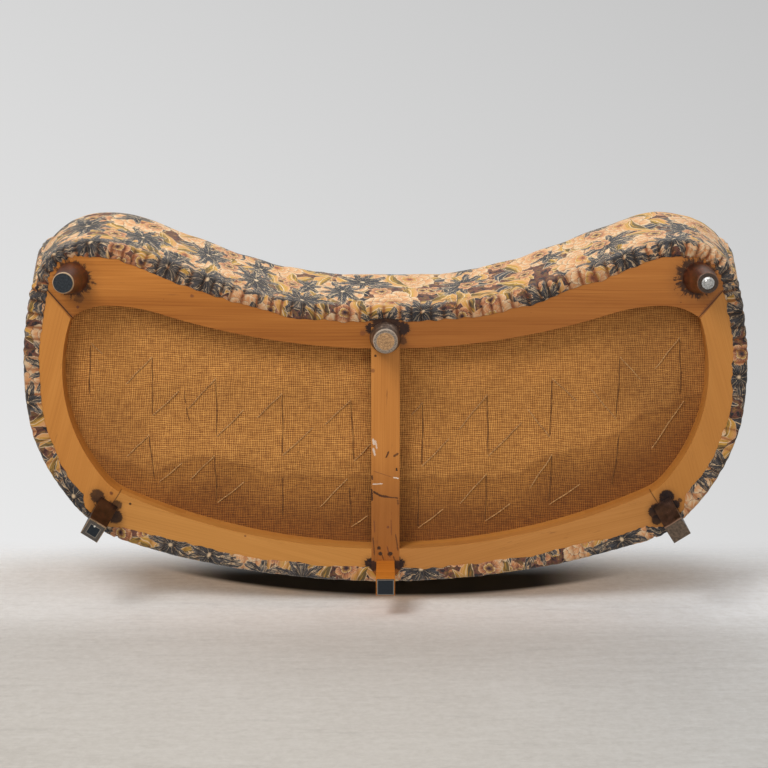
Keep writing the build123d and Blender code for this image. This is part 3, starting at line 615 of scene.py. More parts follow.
def hessianWeave(name, stained=True, pitch=None, tint=1.0):
    # open plain weave of uneven jute threads, with an old damp mark where the attribute says
    finish = Finish(name, Roughness=0.92)
    place = finish.objectPlace()
    soft = finish.vector("SUBTRACT", finish.noise(place, 14.0, 3.0, 0.6, "Color"), (0.5, 0.5, 0.5))
    bent = finish.vector("ADD", place, finish.vector("MULTIPLY", soft, (0.010, 0.010, 0.0)))
    x, y, _ = bent.parts()
    turns = math.tau / (pitch or hessianLook["pitch"])
    slubX = finish.noise(finish.join(x * 34.0, y * 260.0, 0.0), 1.0, 3.0, 0.7)
    slubY = finish.noise(finish.join(x * 260.0, y * 34.0, 5.0), 1.0, 3.0, 0.7)
    warp = (x * turns).op("SINE") * 0.5 + 0.5
    weft = (y * turns).op("SINE") * 0.5 + 0.5
    gap = (1 - warp) * (1 - weft)
    thread = (warp * weft + gap) * 0.25 + (1 - gap) * 0.75
    height = thread * (0.65 + slubX * 0.35 + slubY * 0.35)
    tone = height * 0.88 + (slubX - 0.5) * 0.46 + (slubY - 0.5) * 0.34 - 0.07
    tones = [tuple(c * tint for c in hessianLook[key]) for key in ("dark", "middle", "pale")]
    colour = tone.ramp((0.24, tones[0]), (0.50, tones[1]), (0.90, tones[2]))
    cloud = finish.noise(place, 3.0, 4.0, 0.6)
    colour = finish.mix(cloud.step(0.42, 0.75) * 0.28, colour, tones[1])
    dust = finish.noise(place, 45.0, 4.0, 0.8).step(0.60, 0.80)
    colour = finish.mix(dust * 0.25, colour, hessianLook["dust"])
    specks = finish.noise(place, 120.0, 1.0).step(0.77, 0.80)
    colour = finish.mix(specks * 0.5, colour, hessianLook["speck"])
    if stained:
        damp = finish.attribute("damp")
        edge = damp + (finish.noise(place, 24.0, 4.0, 0.6) - 0.5) * 0.22
        wet = edge.step(0.30, 0.66)
        colour = finish.tint(wet, colour, hessianLook["damp"])
        tide = wet * (1 - edge.step(0.54, 0.74))
        colour = finish.mix(tide * 0.16, colour, hessianLook["tide"])
        lower = damp.step(0.6, 2.8)
        colour = finish.tint(lower, colour, hessianLook["lower"])
        # painted shade: soft darker patches near the right and left side walls of the frame
        for spot, reach, depth in hessianLook["spots"]:
            away = finish.vector("LENGTH", finish.vector("SUBTRACT", place, spot), (0, 0, 0), "Value")
            paintedShade = (1 - (away + (cloud - 0.5) * 0.06).step(reach * 0.35, reach)) * depth
            colour = finish.tint(paintedShade, colour, hessianLook["paintedShade"])
    finish.paint(colour)
    finish.bump(height, 0.0009, 0.7)
    return finish.material


def dressNode(name, material):
    # gives a carried-over solid its finish
    nodes[name].data.materials.clear()
    nodes[name].data.materials.append(material)


# camera, stage and light
view = {
    "lens": 89.6,
    "film": 36,
    "clipEnd": 60,
    "tilt": math.radians(13.08),
    "spot": (-0.0034, -1.1043, -4.175),
}


def addObject(name, data):
    made = bpy.data.objects.new(name, data)
    bpy.context.scene.collection.objects.link(made)
    return made


def addCamera():
    # below the sofa and tipped up at it, its picture turned over
    lens = bpy.data.cameras.new("camera")
    lens.lens, lens.sensor_width, lens.clip_end = view["lens"], view["film"], view["clipEnd"]
    camera = addObject("camera", lens)
    ahead = Vector((0, math.sin(view["tilt"]), math.cos(view["tilt"])))
    up = Vector((0, -math.cos(view["tilt"]), math.sin(view["tilt"])))
    right = ahead.cross(up)
    turn = Matrix((right, up, -ahead)).transposed().to_4x4()
    camera.matrix_world = Matrix.Translation(view["spot"]) @ turn
    bpy.context.scene.camera = camera


stageLook = {
    "floor": (0.556, 0.526, 0.488),
    "pale": (0.672, 0.646, 0.612),
    "foot": 0.4220,
    "slope": 0.0560,
    "fadeStart": 0.36,
    "fadeEnd": 0.74,
    "width": 14,
    "near": -6.5,
    "far": 1.4,
    "upright": 12,
    "brushed": (0.72, 0.70, 0.67),
    "dull": (0.40, 0.38, 0.36),
    "scratch": (0.86, 0.84, 0.80),
    # painted shadow: tone of the dark wedge under the sofa's back
    "dark": (0.004, 0.004, 0.004),
    "paintedNearShade": (0.80, 0.79, 0.77),
    "paintedRightLight": (1.05, 1.09, 1.14),
    "paintedLightNearSofa": (1.36, 1.38, 1.42),
}


def stagePaint(name, fade, gap=False):
    # seen only by the camera and only from its front, so it never shades the part
    finish = Finish(name, Roughness=0.75, Specular_IOR_Level=0.1)
    tree = finish.tree
    where = finish.objectPlace()
    x, y, far = where.parts()
    speck = finish.noise(where, 60.0, 5.0, 0.7)
    cloud = finish.noise(where, 1.3, 3.0)
    tone = finish.mix((speck * 0.6 + cloud * 0.4).step(0.3, 0.75), stageLook["floor"], stageLook["pale"])
    brushed = finish.noise(finish.join(x * 2.2 + far * 0.8, y * 6.0, far * 13.0), 3.0, 6.0, 0.75)
    tone = finish.mix(brushed.step(0.48, 0.70) * 0.35, tone, stageLook["brushed"])
    tone = finish.mix((1 - brushed.step(0.30, 0.46)) * 0.30, tone, stageLook["dull"])
    slanted = finish.join(x * 3.0 - far * 9.0, y * 3.0, far * 2.0 + x * 0.6)
    scored = finish.noise(slanted, 4.0, 8.0, 0.9)
    tone = finish.mix((1 - abs(scored - 0.5).step(0.002, 0.010)) * 0.28, tone, stageLook["scratch"])
    # painted shade: the floor darker towards the camera
    tone = finish.tint(1 - far.step(-1.1, 0.15), tone, stageLook["paintedNearShade"])
    # painted light: the floor brighter and cooler towards the right
    tone = finish.tint(x.step(0.0, 0.9), tone, stageLook["paintedRightLight"])
    if gap:
        # painted light beside the sofa, and a painted shadow: the dark wedge where its back stands off the
        # floor
        tone = finish.tint(far.step(-0.20, 0.12), tone, stageLook["paintedLightNearSofa"])
        under = far - ((x - 0.05) ** 2 * 0.65 + 0.205)
        dark = under.step(-0.035, 0.006) * (1 - abs(x).step(0.36, 0.66)) * (1 - far.step(0.5, 0.7))
        tone = finish.mix(dark, tone, stageLook["dark"])
    finish.paint(tone)
    seen = finish.node("ShaderNodeLightPath", {}, {}, "Is Camera Ray")
    back = finish.node("ShaderNodeNewGeometry", {}, {}, "Backfacing")
    shown = seen * (1 - back) * fade(x, y, far)
    clear = tree.nodes.new("ShaderNodeBsdfTransparent")
    blend = tree.nodes.new("ShaderNodeMixShader")
    finish.feed(blend.inputs[0], shown)
    tree.links.new(clear.outputs[0], blend.inputs[1])
    tree.links.new(finish.shader.outputs[0], blend.inputs[2])
    tree.links.new(blend.outputs[0], tree.nodes["Material Output"].inputs["Surface"])
    return finish.material


def addFloor(name, corners, material):
    mesh = bpy.data.meshes.new(name)
    mesh.from_pydata(corners, [], [(0, 1, 2, 3)])
    mesh.materials.append(material)
    addObject(name, mesh)


def addStage():
    # the floor that the tipped sofa lies on, seen from below the rails
    half, near, far = stageLook["width"] / 2, stageLook["near"], stageLook["far"]
    plan = ((-half, near), (half, near), (half, far), (-half, far))
    corners = [(x, stageLook["foot"] + z * stageLook["slope"], z) for x, z in plan]
    thin = lambda x, y, z: 1 - z.step(stageLook["fadeStart"], stageLook["fadeEnd"])
    addFloor("tippedFloor", corners, stagePaint("floorPaint", thin, gap=True))
    # the floor under the legs, seen only from above
    half = stageLook["upright"] / 2
    corners = [(-half, -half, 0), (half, -half, 0), (half, half, 0), (-half, half, 0)]
    thin = lambda x, y, z: 1 - (x * x + y * y).op("SQRT").step(1.8, 4.5)
    addFloor("uprightFloor", corners, stagePaint("uprightPaint", thin))


# the backdrop is brighter low on one side, by direction in the room
air = {
    "light": (1.0, 0.985, 0.96, 1),
    "strength": 0.46,
    "brighter": (-0.295, 0.51, 0.0),
    "level": 0.60,
}


def addWorld():
    world = bpy.data.worlds.new("studio")
    bpy.context.scene.world = world
    world.use_nodes = True
    tree = world.node_tree
    tree.nodes.clear()

    def add(kind):
        return tree.nodes.new("ShaderNode" + kind)

    out, blend, path = add("OutputWorld"), add("MixShader"), add("LightPath")
    light, shown = add("Background"), add("Background")
    place, tilt, level = add("TexCoord"), add("VectorMath"), add("Math")
    light.inputs[0].default_value, light.inputs[1].default_value = air["light"], air["strength"]
    shown.inputs[0].default_value = (1, 1, 1, 1)
    tilt.operation, level.operation, level.use_clamp = "DOT_PRODUCT", "ADD", True
    tilt.inputs[1].default_value = air["brighter"]
    level.inputs[1].default_value = air["level"]
    for start, end in (
        (place.outputs["Generated"], tilt.inputs[0]),
        (tilt.outputs["Value"], level.inputs[0]),
        (level.outputs[0], shown.inputs[1]),
        (path.outputs["Is Camera Ray"], blend.inputs[0]),
        (light.outputs[0], blend.inputs[1]),
        (shown.outputs[0], blend.inputs[2]),
        (blend.outputs[0], out.inputs[0]),
    ):
        tree.links.new(start, end)


# each lamp's name, place, size and power
lamps = [
    ("keyLamp", (-1.7, -3.0, -2.2), 1.6, 92.0),
    ("fillLamp", (0.9, -1.6, -4.4), 2.0, 46.0),
    ("frontLamp", (0.8, -3.0, 2.6), 2.0, 40.0),
    ("rearLamp", (-1.4, 3.2, 2.0), 2.4, 34.0),
]


def addLamps():
    for name, spot, size, watts in lamps:
        lampData = bpy.data.lights.new(name, "AREA")
        lampData.energy, lampData.size = watts, size
        lamp = addObject(name, lampData)
        aim = Vector((0, 0, 0.3)) - Vector(spot)
        lamp.matrix_world = Matrix.Translation(spot) @ aim.to_track_quat("-Z", "Y").to_matrix().to_4x4()


bpy.context.scene.view_settings.view_transform = "Standard"
addCamera()
addStage()
addWorld()
addLamps()
print("camera, stage and light ready")


# tools for the soft pieces
def takeUp(*pieces):
    # selects these pieces alone
    bpy.ops.object.select_all(action="DESELECT")
    for piece in pieces:
        piece.select_set(True)
    bpy.context.view_layer.objects.active = pieces[0]


def editAll(operator, **settings):
    # one edit-mode operator over the whole active mesh
    bpy.ops.object.mode_set(mode="EDIT")
    bpy.ops.mesh.select_all(action="SELECT")
    operator(**settings)
    bpy.ops.object.mode_set(mode="OBJECT")


def newPiece(name, points, faces, slot, material, replaced=()):
    mesh = bpy.data.meshes.new(name)
    mesh.from_pydata([tuple(p) for p in points], [], faces)
    mesh.materials.append(material)
    piece = addObject(name, mesh)
    takeUp(piece)
    editAll(bpy.ops.mesh.normals_make_consistent, inside=False)
    bpy.ops.object.shade_smooth_by_angle(angle=math.radians(50))
    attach(piece, "root")
    if replaced:
        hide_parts(*replaced)
    return piece


def copyPiece(name, sources, voxel, relax, material):
    # the solids' own surfaces, joined, remeshed evenly and rounded a little
    copies = [addObject(source + "Copy", nodes[source].data.copy()) for source in sources]
    takeUp(*copies)
    if len(copies) > 1:
        bpy.ops.object.join()
    piece = copies[0]
    piece.name = name
    piece.data.materials.clear()
    editAll(bpy.ops.mesh.remove_doubles, threshold=0.0001)
    applyModifier(piece, "REMESH", mode="VOXEL", voxel_size=voxel, use_smooth_shade=True)
    applyModifier(piece, "SMOOTH", factor=0.5, iterations=relax)
    piece.data.materials.append(material)
    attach(piece, "root")
    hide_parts(*sources)
    return piece


def applyModifier(piece, kind, **settings):
    takeUp(piece)
    modifier = piece.modifiers.new(kind.lower(), kind)
    for key, value in settings.items():
        setattr(modifier, key, value)
    bpy.ops.object.modifier_apply(modifier=modifier.name)


def readVertices(mesh, what):
    values = np.empty(len(mesh.vertices) * 3)
    mesh.vertices.foreach_get(what, values)
    return values.reshape(-1, 3)


def placesAndNormals(piece):
    return readVertices(piece.data, "co"), readVertices(piece.data, "normal")


def setPlaces(piece, spots):
    piece.data.vertices.foreach_set("co", np.ascontiguousarray(spots).reshape(-1))
    piece.data.update()


def outlineOf(spots):
    # run from the middle of the front and distance outside the outline, for many points
    pairs = np.array([edgePlace(x, y) for x, y, _ in spots])
    return pairs[:, 0], pairs[:, 1]


def handOf(spots):
    return np.where(spots[:, 0] < 0, -1.0, 1.0)


def wobble(x, y=0.0, z=0.0):
    # smooth noise at one place
    return noise.noise(Vector((x, y, z)))


def ripple(spots, scale, seed=0.0, squash=1.0):
    # smooth noise at many places, drawn out up the cloth by the squash
    spots = spots * np.array([1.0, 1.0, squash])
    return np.array([noise.noise(Vector(spot) * scale + Vector((seed, seed, 0))) for spot in spots])


stuffing = {"pressure": 4.0, "frames": 20, "quality": 4, "mass": 0.3, "stretch": 18, "bend": 0.6}


def swell(piece, weight, cap):
    # lets stuffing push the cover out where it shows, by no more than the cap
    before = readVertices(piece.data, "co")
    group = piece.vertex_groups.new(name="held")
    for index, share in enumerate(weight):
        group.add([index], float(1 - share), "REPLACE")
    modifier = piece.modifiers.new("stuffing", "CLOTH")
    settings = modifier.settings
    settings.quality = stuffing["quality"]
    settings.mass = stuffing["mass"]
    settings.tension_stiffness = settings.compression_stiffness = stuffing["stretch"]
    settings.bending_stiffness = stuffing["bend"]
    settings.use_pressure = True
    settings.uniform_pressure_force = stuffing["pressure"]
    settings.effector_weights.gravity = 0
    settings.vertex_group_mass = "held"
    modifier.point_cache.frame_start = 1
    modifier.point_cache.frame_end = stuffing["frames"]
    scene = bpy.context.scene
    for step in range(1, stuffing["frames"] + 1):
        scene.frame_set(step)
    depsgraph = bpy.context.evaluated_depsgraph_get()
    after = readVertices(piece.evaluated_get(depsgraph).data, "co")
    piece.modifiers.remove(modifier)
    piece.vertex_groups.remove(group)
    scene.frame_set(1)
    move = after - before
    length = np.maximum(np.linalg.norm(move, axis=1), 1e-9)
    move *= (np.minimum(length, cap) / length * weight)[:, None]
    setPlaces(piece, before + move)


def smoothShare(value, low, high):
    # 0 below low, 1 above high, smooth between
    share = np.clip((value - low) / (high - low), 0, 1)
    return share * share * (3 - 2 * share)


def setCloth(piece, along, up):
    # where the print lies on each vertex, in metres of cloth
    layer = piece.data.uv_layers.new(name="cloth")
    loops = np.empty(len(piece.data.loops), dtype=np.int32)
    piece.data.loops.foreach_get("vertex_index", loops)
    layer.data.foreach_set("uv", np.stack([along[loops], up[loops]], axis=1).reshape(-1))
    return layer, loops


def setSoilAndShade(piece, share):
    attribute = piece.data.attributes.new("soil", "FLOAT", "POINT")
    attribute.data.foreach_set("value", np.ascontiguousarray(share, dtype=float))


def tube(points, radius, sides):
    # rings round a smooth path, capped at both ends
    path = [Vector(p) for p in points]
    count = len(path)
    spots, side = [], None
    for k in range(count):
        way = (path[min(k + 1, count - 1)] - path[max(k - 1, 0)]).normalized()
        side = way.orthogonal() if side is None else side
        side = (side - way * side.dot(way)).normalized()
        other = way.cross(side)
        for turn in range(sides):
            angle = math.tau * turn / sides
            spots.append(path[k] + (side * math.cos(angle) + other * math.sin(angle)) * radius)
    faces = []
    for start in range(0, (count - 1) * sides, sides):
        for turn in range(sides):
            a, b = start + turn, start + (turn + 1) % sides
            faces.append((a, b, b + sides, a + sides))
    faces.append(tuple(range(sides))[::-1])
    faces.append(tuple((count - 1) * sides + turn for turn in range(sides)))
    return spots, faces


def manyTubes(paths, radius, sides):
    spots, faces = [], []
    for path in paths:
        more, rings = tube(path, radius, sides)
        faces += [tuple(index + len(spots) for index in face) for face in rings]
        spots += more
    return spots, faces


cloth = floralCloth("printedCotton")


# seat
seatLook = {
    "voxel": 0.012,
    "relax": 5,
    "swell": 0.010,
    "pucker": (14.0, 0.0035),
    "crinkle": (42.0, 0.0010),
    "nose": 0.38,  # above this height the print runs over the front edge
    "overhang": 0.055,
    "shift": (4.0, 1.0),
    # heights over which the seat front darkens towards its bottom, soil and painted shade
    "soil": (0.135, 0.20),
}


def addSeat():
    sources = ["seat_pad", "seat_front_border"]
    piece = copyPiece("seatCushion", sources, seatLook["voxel"], seatLook["relax"], cloth)
    spots, normals = placesAndNormals(piece)
    run, away = outlineOf(spots)
    # only the front and the top show
    front = smoothShare(away, -0.02, 0.03) * smoothShare(spots[:, 2], 0.128, 0.16)
    front = front * smoothShare(-normals[:, 1], -0.2, 0.3)
    top = smoothShare(spots[:, 2], 0.41, 0.43) * smoothShare(-away, -0.4, 0.0)
    top = top * smoothShare(normals[:, 2], 0.3, 0.8)
    shown = np.clip(front + top, 0, 1)
    swell(piece, shown * (1 - smoothShare(np.abs(spots[:, 0]), 0.60, 0.70)), seatLook["swell"])
    spots, normals = placesAndNormals(piece)
    (coarse, deep), (fine, shallow) = seatLook["pucker"], seatLook["crinkle"]
    pucker = ripple(spots, coarse, squash=0.45) * deep + ripple(spots, fine, 3.0) * shallow
    setPlaces(piece, spots + normals * (pucker * shown)[:, None])
    applyModifier(piece, "SUBSURF", levels=1)
    spots = readVertices(piece.data, "co")
    run, away = outlineOf(spots)
    rise = np.maximum(spots[:, 2] - seatLook["nose"], 0)
    over = np.hypot(rise, np.maximum(seatLook["overhang"] - away, 0) * (rise > 0))
    up = np.where(rise > 0, seatLook["nose"] + over, spots[:, 2])
    layer, loops = setCloth(piece, handOf(spots) * run, up)
    # the print lies flat on the top, behind the seam of the front border
    flat = spots[:, :2] + seatLook["shift"]
    seam = away < 0.012
    pairs = np.empty(len(loops) * 2)
    layer.data.foreach_get("uv", pairs)
    pairs = pairs.reshape(-1, 2)
    for face in piece.data.polygons:
        if face.normal.z > 0.5 and all(seam[v] for v in face.vertices):
            for loop in face.loop_indices:
                pairs[loop] = flat[loops[loop]]
    layer.data.foreach_set("uv", pairs.reshape(-1))
    # soil and painted shade: the seat front darker towards its bottom
    setSoilAndShade(piece, 1 - smoothShare(spots[:, 2], *seatLook["soil"]))
    return piece


# wall: inside pads, outside covers, facings
wallLook = {
    "roll": 0.0535,
    "middle": -0.039,
    "join": 0.64115,
    "length": 1.2823,
    "heights": (0.800, 0.772, 0.560),
    "swell": 0.008,
    "meet": 0.0045,
    "skin": 0.0026,
    "search": 0.012,
    "pads": {
        "backCushion": ("back_pad", 0.011),
        "armCushionLeft": ("arm_pad_left", 0.010),
        "armCushionRight": ("arm_pad_right", 0.010),
    },
    "covers": {
        "outsideBack": ("outside_back", 0.006, 5),
        "outsideArmLeft": ("outside_arm_left", 0.006, 5),
        "outsideArmRight": ("outside_arm_right", 0.006, 5),
    },
    "facings": {
        "armFacingLeft": ("arm_facing_left", 0.004, 4),
        "armFacingRight": ("arm_facing_right", 0.004, 4),
    },
    "padRelax": 4,
    "pucker": (9.0, 0.0040),
    "crinkle": (36.0, 0.0012),
    "drawn": (16.0, 0.0022),
    "outerCrinkle": (60.0, 0.0007),
    "endRound": 0.034,
    "endFront": -0.0125,
    "endLean": 0.100,
    "endOuter": 0.0150,
    "endRise": (0.30, 0.42),
    "frame": ("back_top_rail", "arm_rail_left", "arm_rail_right"),
}


def wallTop(along):
    # height of the top of the wall, from the middle of the back to the arm's end
    share = np.clip(np.abs(along) / wallLook["length"], 0, 1)
    high, middle, low = wallLook["heights"]
    back = high + (middle - high) * (1 - np.cos(np.pi * share * 2)) / 2
    arm = middle + (low - middle) * (1 - np.cos(np.pi * (share * 2 - 1))) / 2
    return np.where(share < 0.5, back, arm)


def wallRise(spots, away, along):
    # cloth height: up the inside face, round the roll and down the outside
    z = spots[:, 2]
    centre = wallTop(along) - wallLook["roll"]
    across = away - outline["lean"] * (z - outline["legHeight"]) - wallLook["middle"]
    rolled = centre + wallLook["roll"] * np.arctan2(z - centre, -across)
    outside = centre + wallLook["roll"] * np.pi + (centre - z)
    return np.where(z > centre, rolled, np.where(across > 0, outside, z))


def surfaceTree(pieces):
    # all these surfaces, ready for rays and nearest places
    mesh = bmesh.new()
    for piece in pieces:
        mesh.from_mesh(piece.data)
    tree = BVHTree.FromBMesh(mesh)
    mesh.free()
    return tree


def meetAtJoint(spots, run, away):
    # stretches the ends of the back and arm pads until they touch
    beyond = halfRun - run - wallLook["join"]
    shift = wallLook["meet"] * (1 - smoothShare(np.abs(beyond), 0.002, 0.032)) * np.sign(beyond)
    for index in np.nonzero(shift)[0]:
        here, there = edgeSpot(run[index], away[index]), edgeSpot(run[index] + shift[index], away[index])
        spots[index, 0] += (there[0] - here[0]) * (-1 if spots[index, 0] < 0 else 1)
        spots[index, 1] += there[1] - here[1]
    return spots


def roundArmEnd(piece):
    # rounds the outer front corner of an arm, above the seat
    spots = readVertices(piece.data, "co")
    armRun, radius = halfRun - wallLook["length"], wallLook["endRound"]
    corner = np.array(edgeSpot(armRun, 0.0))
    back = np.array(edgeSpot(armRun + 0.002, 0.0)) - corner
    out = np.array(edgeSpot(armRun, 0.01)) - corner
    back, out = back / np.linalg.norm(back), out / np.linalg.norm(out)
    side = handOf(spots)
    place = np.stack([spots[:, 0] * side, spots[:, 1]], axis=1) - corner
    rise = spots[:, 2] - outline["legHeight"]
    behind = place @ back - wallLook["endFront"] + wallLook["endLean"] * rise
    beside = place @ out - outline["lean"] * rise - wallLook["endOuter"]
    u, v = 1 - behind / radius, 1 + beside / radius
    near = (u > 0) & (v > 0) & (u < 1.6) & (v < 1.6)
    share = np.where(near, np.maximum(u, v) / np.maximum(np.hypot(u, v), 1e-9), 1.0)
    share = (share - 1) * smoothShare(spots[:, 2], *wallLook["endRise"]) * radius
    move = np.outer(-u * share, back) + np.outer(v * share, out)
    spots[:, 0] += move[:, 0] * side
    spots[:, 1] += move[:, 1]
    setPlaces(piece, spots)


def layOnFrame(piece, frameTree):
    # the cover lies on the top rails, never inside them
    spots, normals = placesAndNormals(piece)
    for index, spot in enumerate(spots):
        near, facing, _, apart = frameTree.find_nearest(Vector(spot), wallLook["search"])
        if near is None or facing.dot(Vector(normals[index])) < 0.3:
            continue
        height = (Vector(spot) - near).dot(facing)
        if height >= 0 and apart >= wallLook["skin"]:
            continue
        way = facing if abs(height) > apart * 0.9 else Vector(normals[index])
        spots[index] = near + way * wallLook["skin"]
    setPlaces(piece, spots)


def addPads():
    made = {}
    for name, (node, voxel) in wallLook["pads"].items():
        piece = copyPiece(name, [node], voxel, wallLook["padRelax"], cloth)
        spots = readVertices(piece.data, "co")
        run, away = outlineOf(spots)
        along = halfRun - run
        leaned = away - outline["lean"] * (spots[:, 2] - outline["legHeight"])
        centre = wallTop(along) - wallLook["roll"]
        above = smoothShare(spots[:, 2], centre - 0.02, centre + 0.01)
        shown = np.maximum(smoothShare(-leaned, 0.075, 0.10), above)
        joint = smoothShare(np.abs(along - wallLook["join"]), 0.004, 0.05)
        ends = smoothShare(wallLook["length"] - along, 0.004, 0.05)
        weight = shown * (0.15 + 0.85 * joint) * ends * smoothShare(spots[:, 2], 0.36, 0.46)
        swell(piece, weight, wallLook["swell"])
        spots, normals = placesAndNormals(piece)
        (coarse, deep), (fine, shallow) = wallLook["pucker"], wallLook["crinkle"]
        pull = ripple(spots, coarse, squash=0.5) * deep + ripple(spots, fine, 5.0) * shallow
        run, away = outlineOf(spots)
        setPlaces(piece, meetAtJoint(spots + normals * (pull * shown)[:, None], run, away))
        applyModifier(piece, "SUBSURF", levels=1)
        roundArmEnd(piece)
        layOnFrame(piece, frameTree)
        spots = readVertices(piece.data, "co")
        run, away = outlineOf(spots)
        setCloth(piece, handOf(spots) * (halfRun - run), wallRise(spots, away, halfRun - run))
        made[name] = piece
    return made


def addCovers():
    made = {}
    for name, (node, voxel, relax) in wallLook["covers"].items():
        piece = copyPiece(name, [node], voxel, relax, cloth)
        spots, normals = placesAndNormals(piece)
        run, _ = outlineOf(spots)
        (coarse, deep), (fine, shallow) = wallLook["drawn"], wallLook["outerCrinkle"]
        drawn = ripple(spots, coarse, 2.0, 0.35) * deep + ripple(spots, fine, 4.0) * shallow
        held = smoothShare(spots[:, 2], 0.125, 0.16)
        setPlaces(piece, spots + normals * (drawn * (0.35 + 0.65 * held))[:, None])
        roundArmEnd(piece)
        layOnFrame(piece, frameTree)
        spots = readVertices(piece.data, "co")
        setCloth(piece, handOf(spots) * (halfRun - run), 0.02 + spots[:, 2])
        # soil and painted shade: the outside covers darker towards their bottom
        setSoilAndShade(piece, 1 - 0.7 * smoothShare(spots[:, 2], 0.13, 0.30))
        made[name] = piece
    for name, (node, voxel, relax) in wallLook["facings"].items():
        piece = copyPiece(name, [node], voxel, relax, cloth)
        roundArmEnd(piece)
        layOnFrame(piece, frameTree)
        spots = readVertices(piece.data, "co")
        setCloth(piece, spots[:, 0] + 2.0, spots[:, 2])
        made[name] = piece
    return made


frameTree = surfaceTree([nodes[name] for name in wallLook["frame"]])
seat = addSeat()
print("seat cushion ready")
pads = addPads()
print("back and arm pads ready")
covers = addCovers()
print("outside covers ready")


# piping over the joints of the cover
weltLook = {
    "radius": 0.0036,
    "facingRadius": 0.0048,
    "facingShift": 0.0032,
    "sunk": 0.0012,
    "pitch": 0.008,
    "sides": 8,
    "outside": 0.22,
    "search": (0.022, 0.030),
    "step": 0.002,
    "beside": 2,
    "facingRise": (0.132, 0.372),
    "print": (0.31, 0.53),
}


def outerFace(tree, run, level):
    # how far outside the outline the cover stands, at a run and a height
    outX, outY = edgeSpot(run, weltLook["outside"])
    inX, inY = edgeSpot(run, 0.0)
    origin = Vector((outX, outY, level))
    hit = tree.ray_cast(origin, Vector((inX - outX, inY - outY, 0)).normalized(), 0.30)
    return weltLook["outside"] - hit[3] if hit[0] is not None else -0.08


def findSeam(reach, faceAt):
    # where the cover dips at a joint, and how far out it stands beside that
    beside = weltLook["beside"]
    steps = np.arange(-reach, reach + 0.0001, weltLook["step"])
    faceAway = np.array([faceAt(step) for step in steps])
    inner = np.argmin(faceAway[beside:-beside]) + beside
    return steps[inner], max(faceAway[inner - beside], faceAway[inner + beside])


def smoothed(values, reach):
    padded = np.pad(np.asarray(values, dtype=float), reach, mode="edge")
    window = np.hanning(2 * reach + 3)[1:-1]
    return np.convolve(padded, window / window.sum(), mode="valid")


def addWelt(name, places, radius):
    spots, faces = tube(places, radius, weltLook["sides"])
    piece = newPiece(name, spots, faces, "cover_cloth", cloth)
    parts = [(Vector(b) - Vector(a)).length for a, b in zip(places, places[1:])]
    along = np.repeat(np.concatenate([[0], np.cumsum(parts)]), weltLook["sides"])
    up = np.tile(np.arange(weltLook["sides"]) * 0.004, len(places))
    printX, printY = weltLook["print"]
    setCloth(piece, along + printX, up + printY)


def addWelts():
    soft = surfaceTree([*pads.values(), *covers.values(), seat])
    wallReach, facingReach = weltLook["search"]
    # along the joint of the inside pads and the outside covers, from arm to arm
    alongs = np.arange(0.0, wallLook["length"] - 0.006, weltLook["pitch"])
    centres = wallTop(alongs) - wallLook["roll"]
    dips, depths = zip(*(
        findSeam(wallReach, lambda step: outerFace(soft, halfRun - along, centre + step))
        for along, centre in zip(alongs, centres)
    ))
    levels, depths = centres + np.median(dips), smoothed(depths, 4) - weltLook["sunk"]
    half = [
        (*edgeSpot(halfRun - along, depth), level)
        for along, level, depth in zip(alongs, levels, depths)
    ]
    mirrored = [(-x, y, z) for x, y, z in half[:0:-1]]
    addWelt("coverPiping", mirrored + half, weltLook["radius"])
    # up the joint of the seat front and each arm facing
    rises = np.arange(*weltLook["facingRise"], weltLook["pitch"])
    for hand, name in ((-1, "facingPipingLeft"), (1, "facingPipingRight")):
        dips, depths = zip(*(
            findSeam(facingReach, lambda step: outerFace(soft, hand * (hemLook["armRun"] + step), level))
            for level in rises
        ))
        runs = smoothed([hand * (hemLook["armRun"] + dip) for dip in dips], 5)
        runs = runs - hand * weltLook["facingShift"]
        depths = [np.median(depths[max(0, k - 4) : k + 5]) for k in range(len(depths))]
        depths = smoothed(depths, 5) - weltLook["sunk"]
        places = [(*edgeSpot(run, depth), level) for run, depth, level in zip(runs, depths, rises)]
        addWelt(name, places, weltLook["facingRadius"])


# cloth turned under the rails
hemLook = {
    "reach": -0.018,
    "level": 0.1250,
    "thick": 0.0014,
    "step": 0.0026,
    "armRun": halfRun - wallLook["length"],
    "joinRun": halfRun - wallLook["join"],
    "pleatPitch": 0.016,
    "lump": 0.027,
    "puff": 0.0078,
    "rise": 0.046,
    "loft": ((0.0, 1.0), (0.86, 1.0), (1.05, 0.55), (1.5, 0.42), (1.9, 0.30)),
    "under": (0.12, 0.3, 0.5, 0.7, 0.88, 1.0),
    "corner": (0.006, 0.145),
    "cornerTurns": (14, 26, 38, 50, 62, 74, 86),
    "upright": (0.54, 0.66, 0.78, 0.88, 0.95, 1.0),
    "ray": 0.12,
    # how near each leg the cloth draws back, and by how much
    "stops": {
        "frontLeft": (0.058, 0.020),
        "frontRight": (0.058, 0.020),
        "frontCentre": (0.060, 0.014),
        "rearLeft": (0.060, 0.026),
        "rearRight": (0.060, 0.026),
        "rearCentre": (0.038, 0.031),
    },
}


def pleatShare(run):
    # gathers where the cloth goes round the tight corners of the plan
    armRun = hemLook["armRun"]
    turn = float(np.interp(abs(run), (armRun - 0.20, armRun - 0.10, armRun + 0.02), (0, 1, 0.25)))
    rear = math.exp(-(((abs(run) - hemLook["joinRun"] + 0.03) / 0.09) ** 2))
    return max(turn if abs(run) < armRun + 0.2 else 0, rear * 0.6)


def keepOff(x, y):
    # how far the cloth's edge draws back round the legs and posts
    back = 0
    for leg, (clear, pull) in hemLook["stops"].items():
        legX, legY = outline["legs"][leg]
        gap = math.hypot(x - legX, y - legY)
        back = max(back, pull * (1 - min(1, gap / clear) ** 2))
    return back


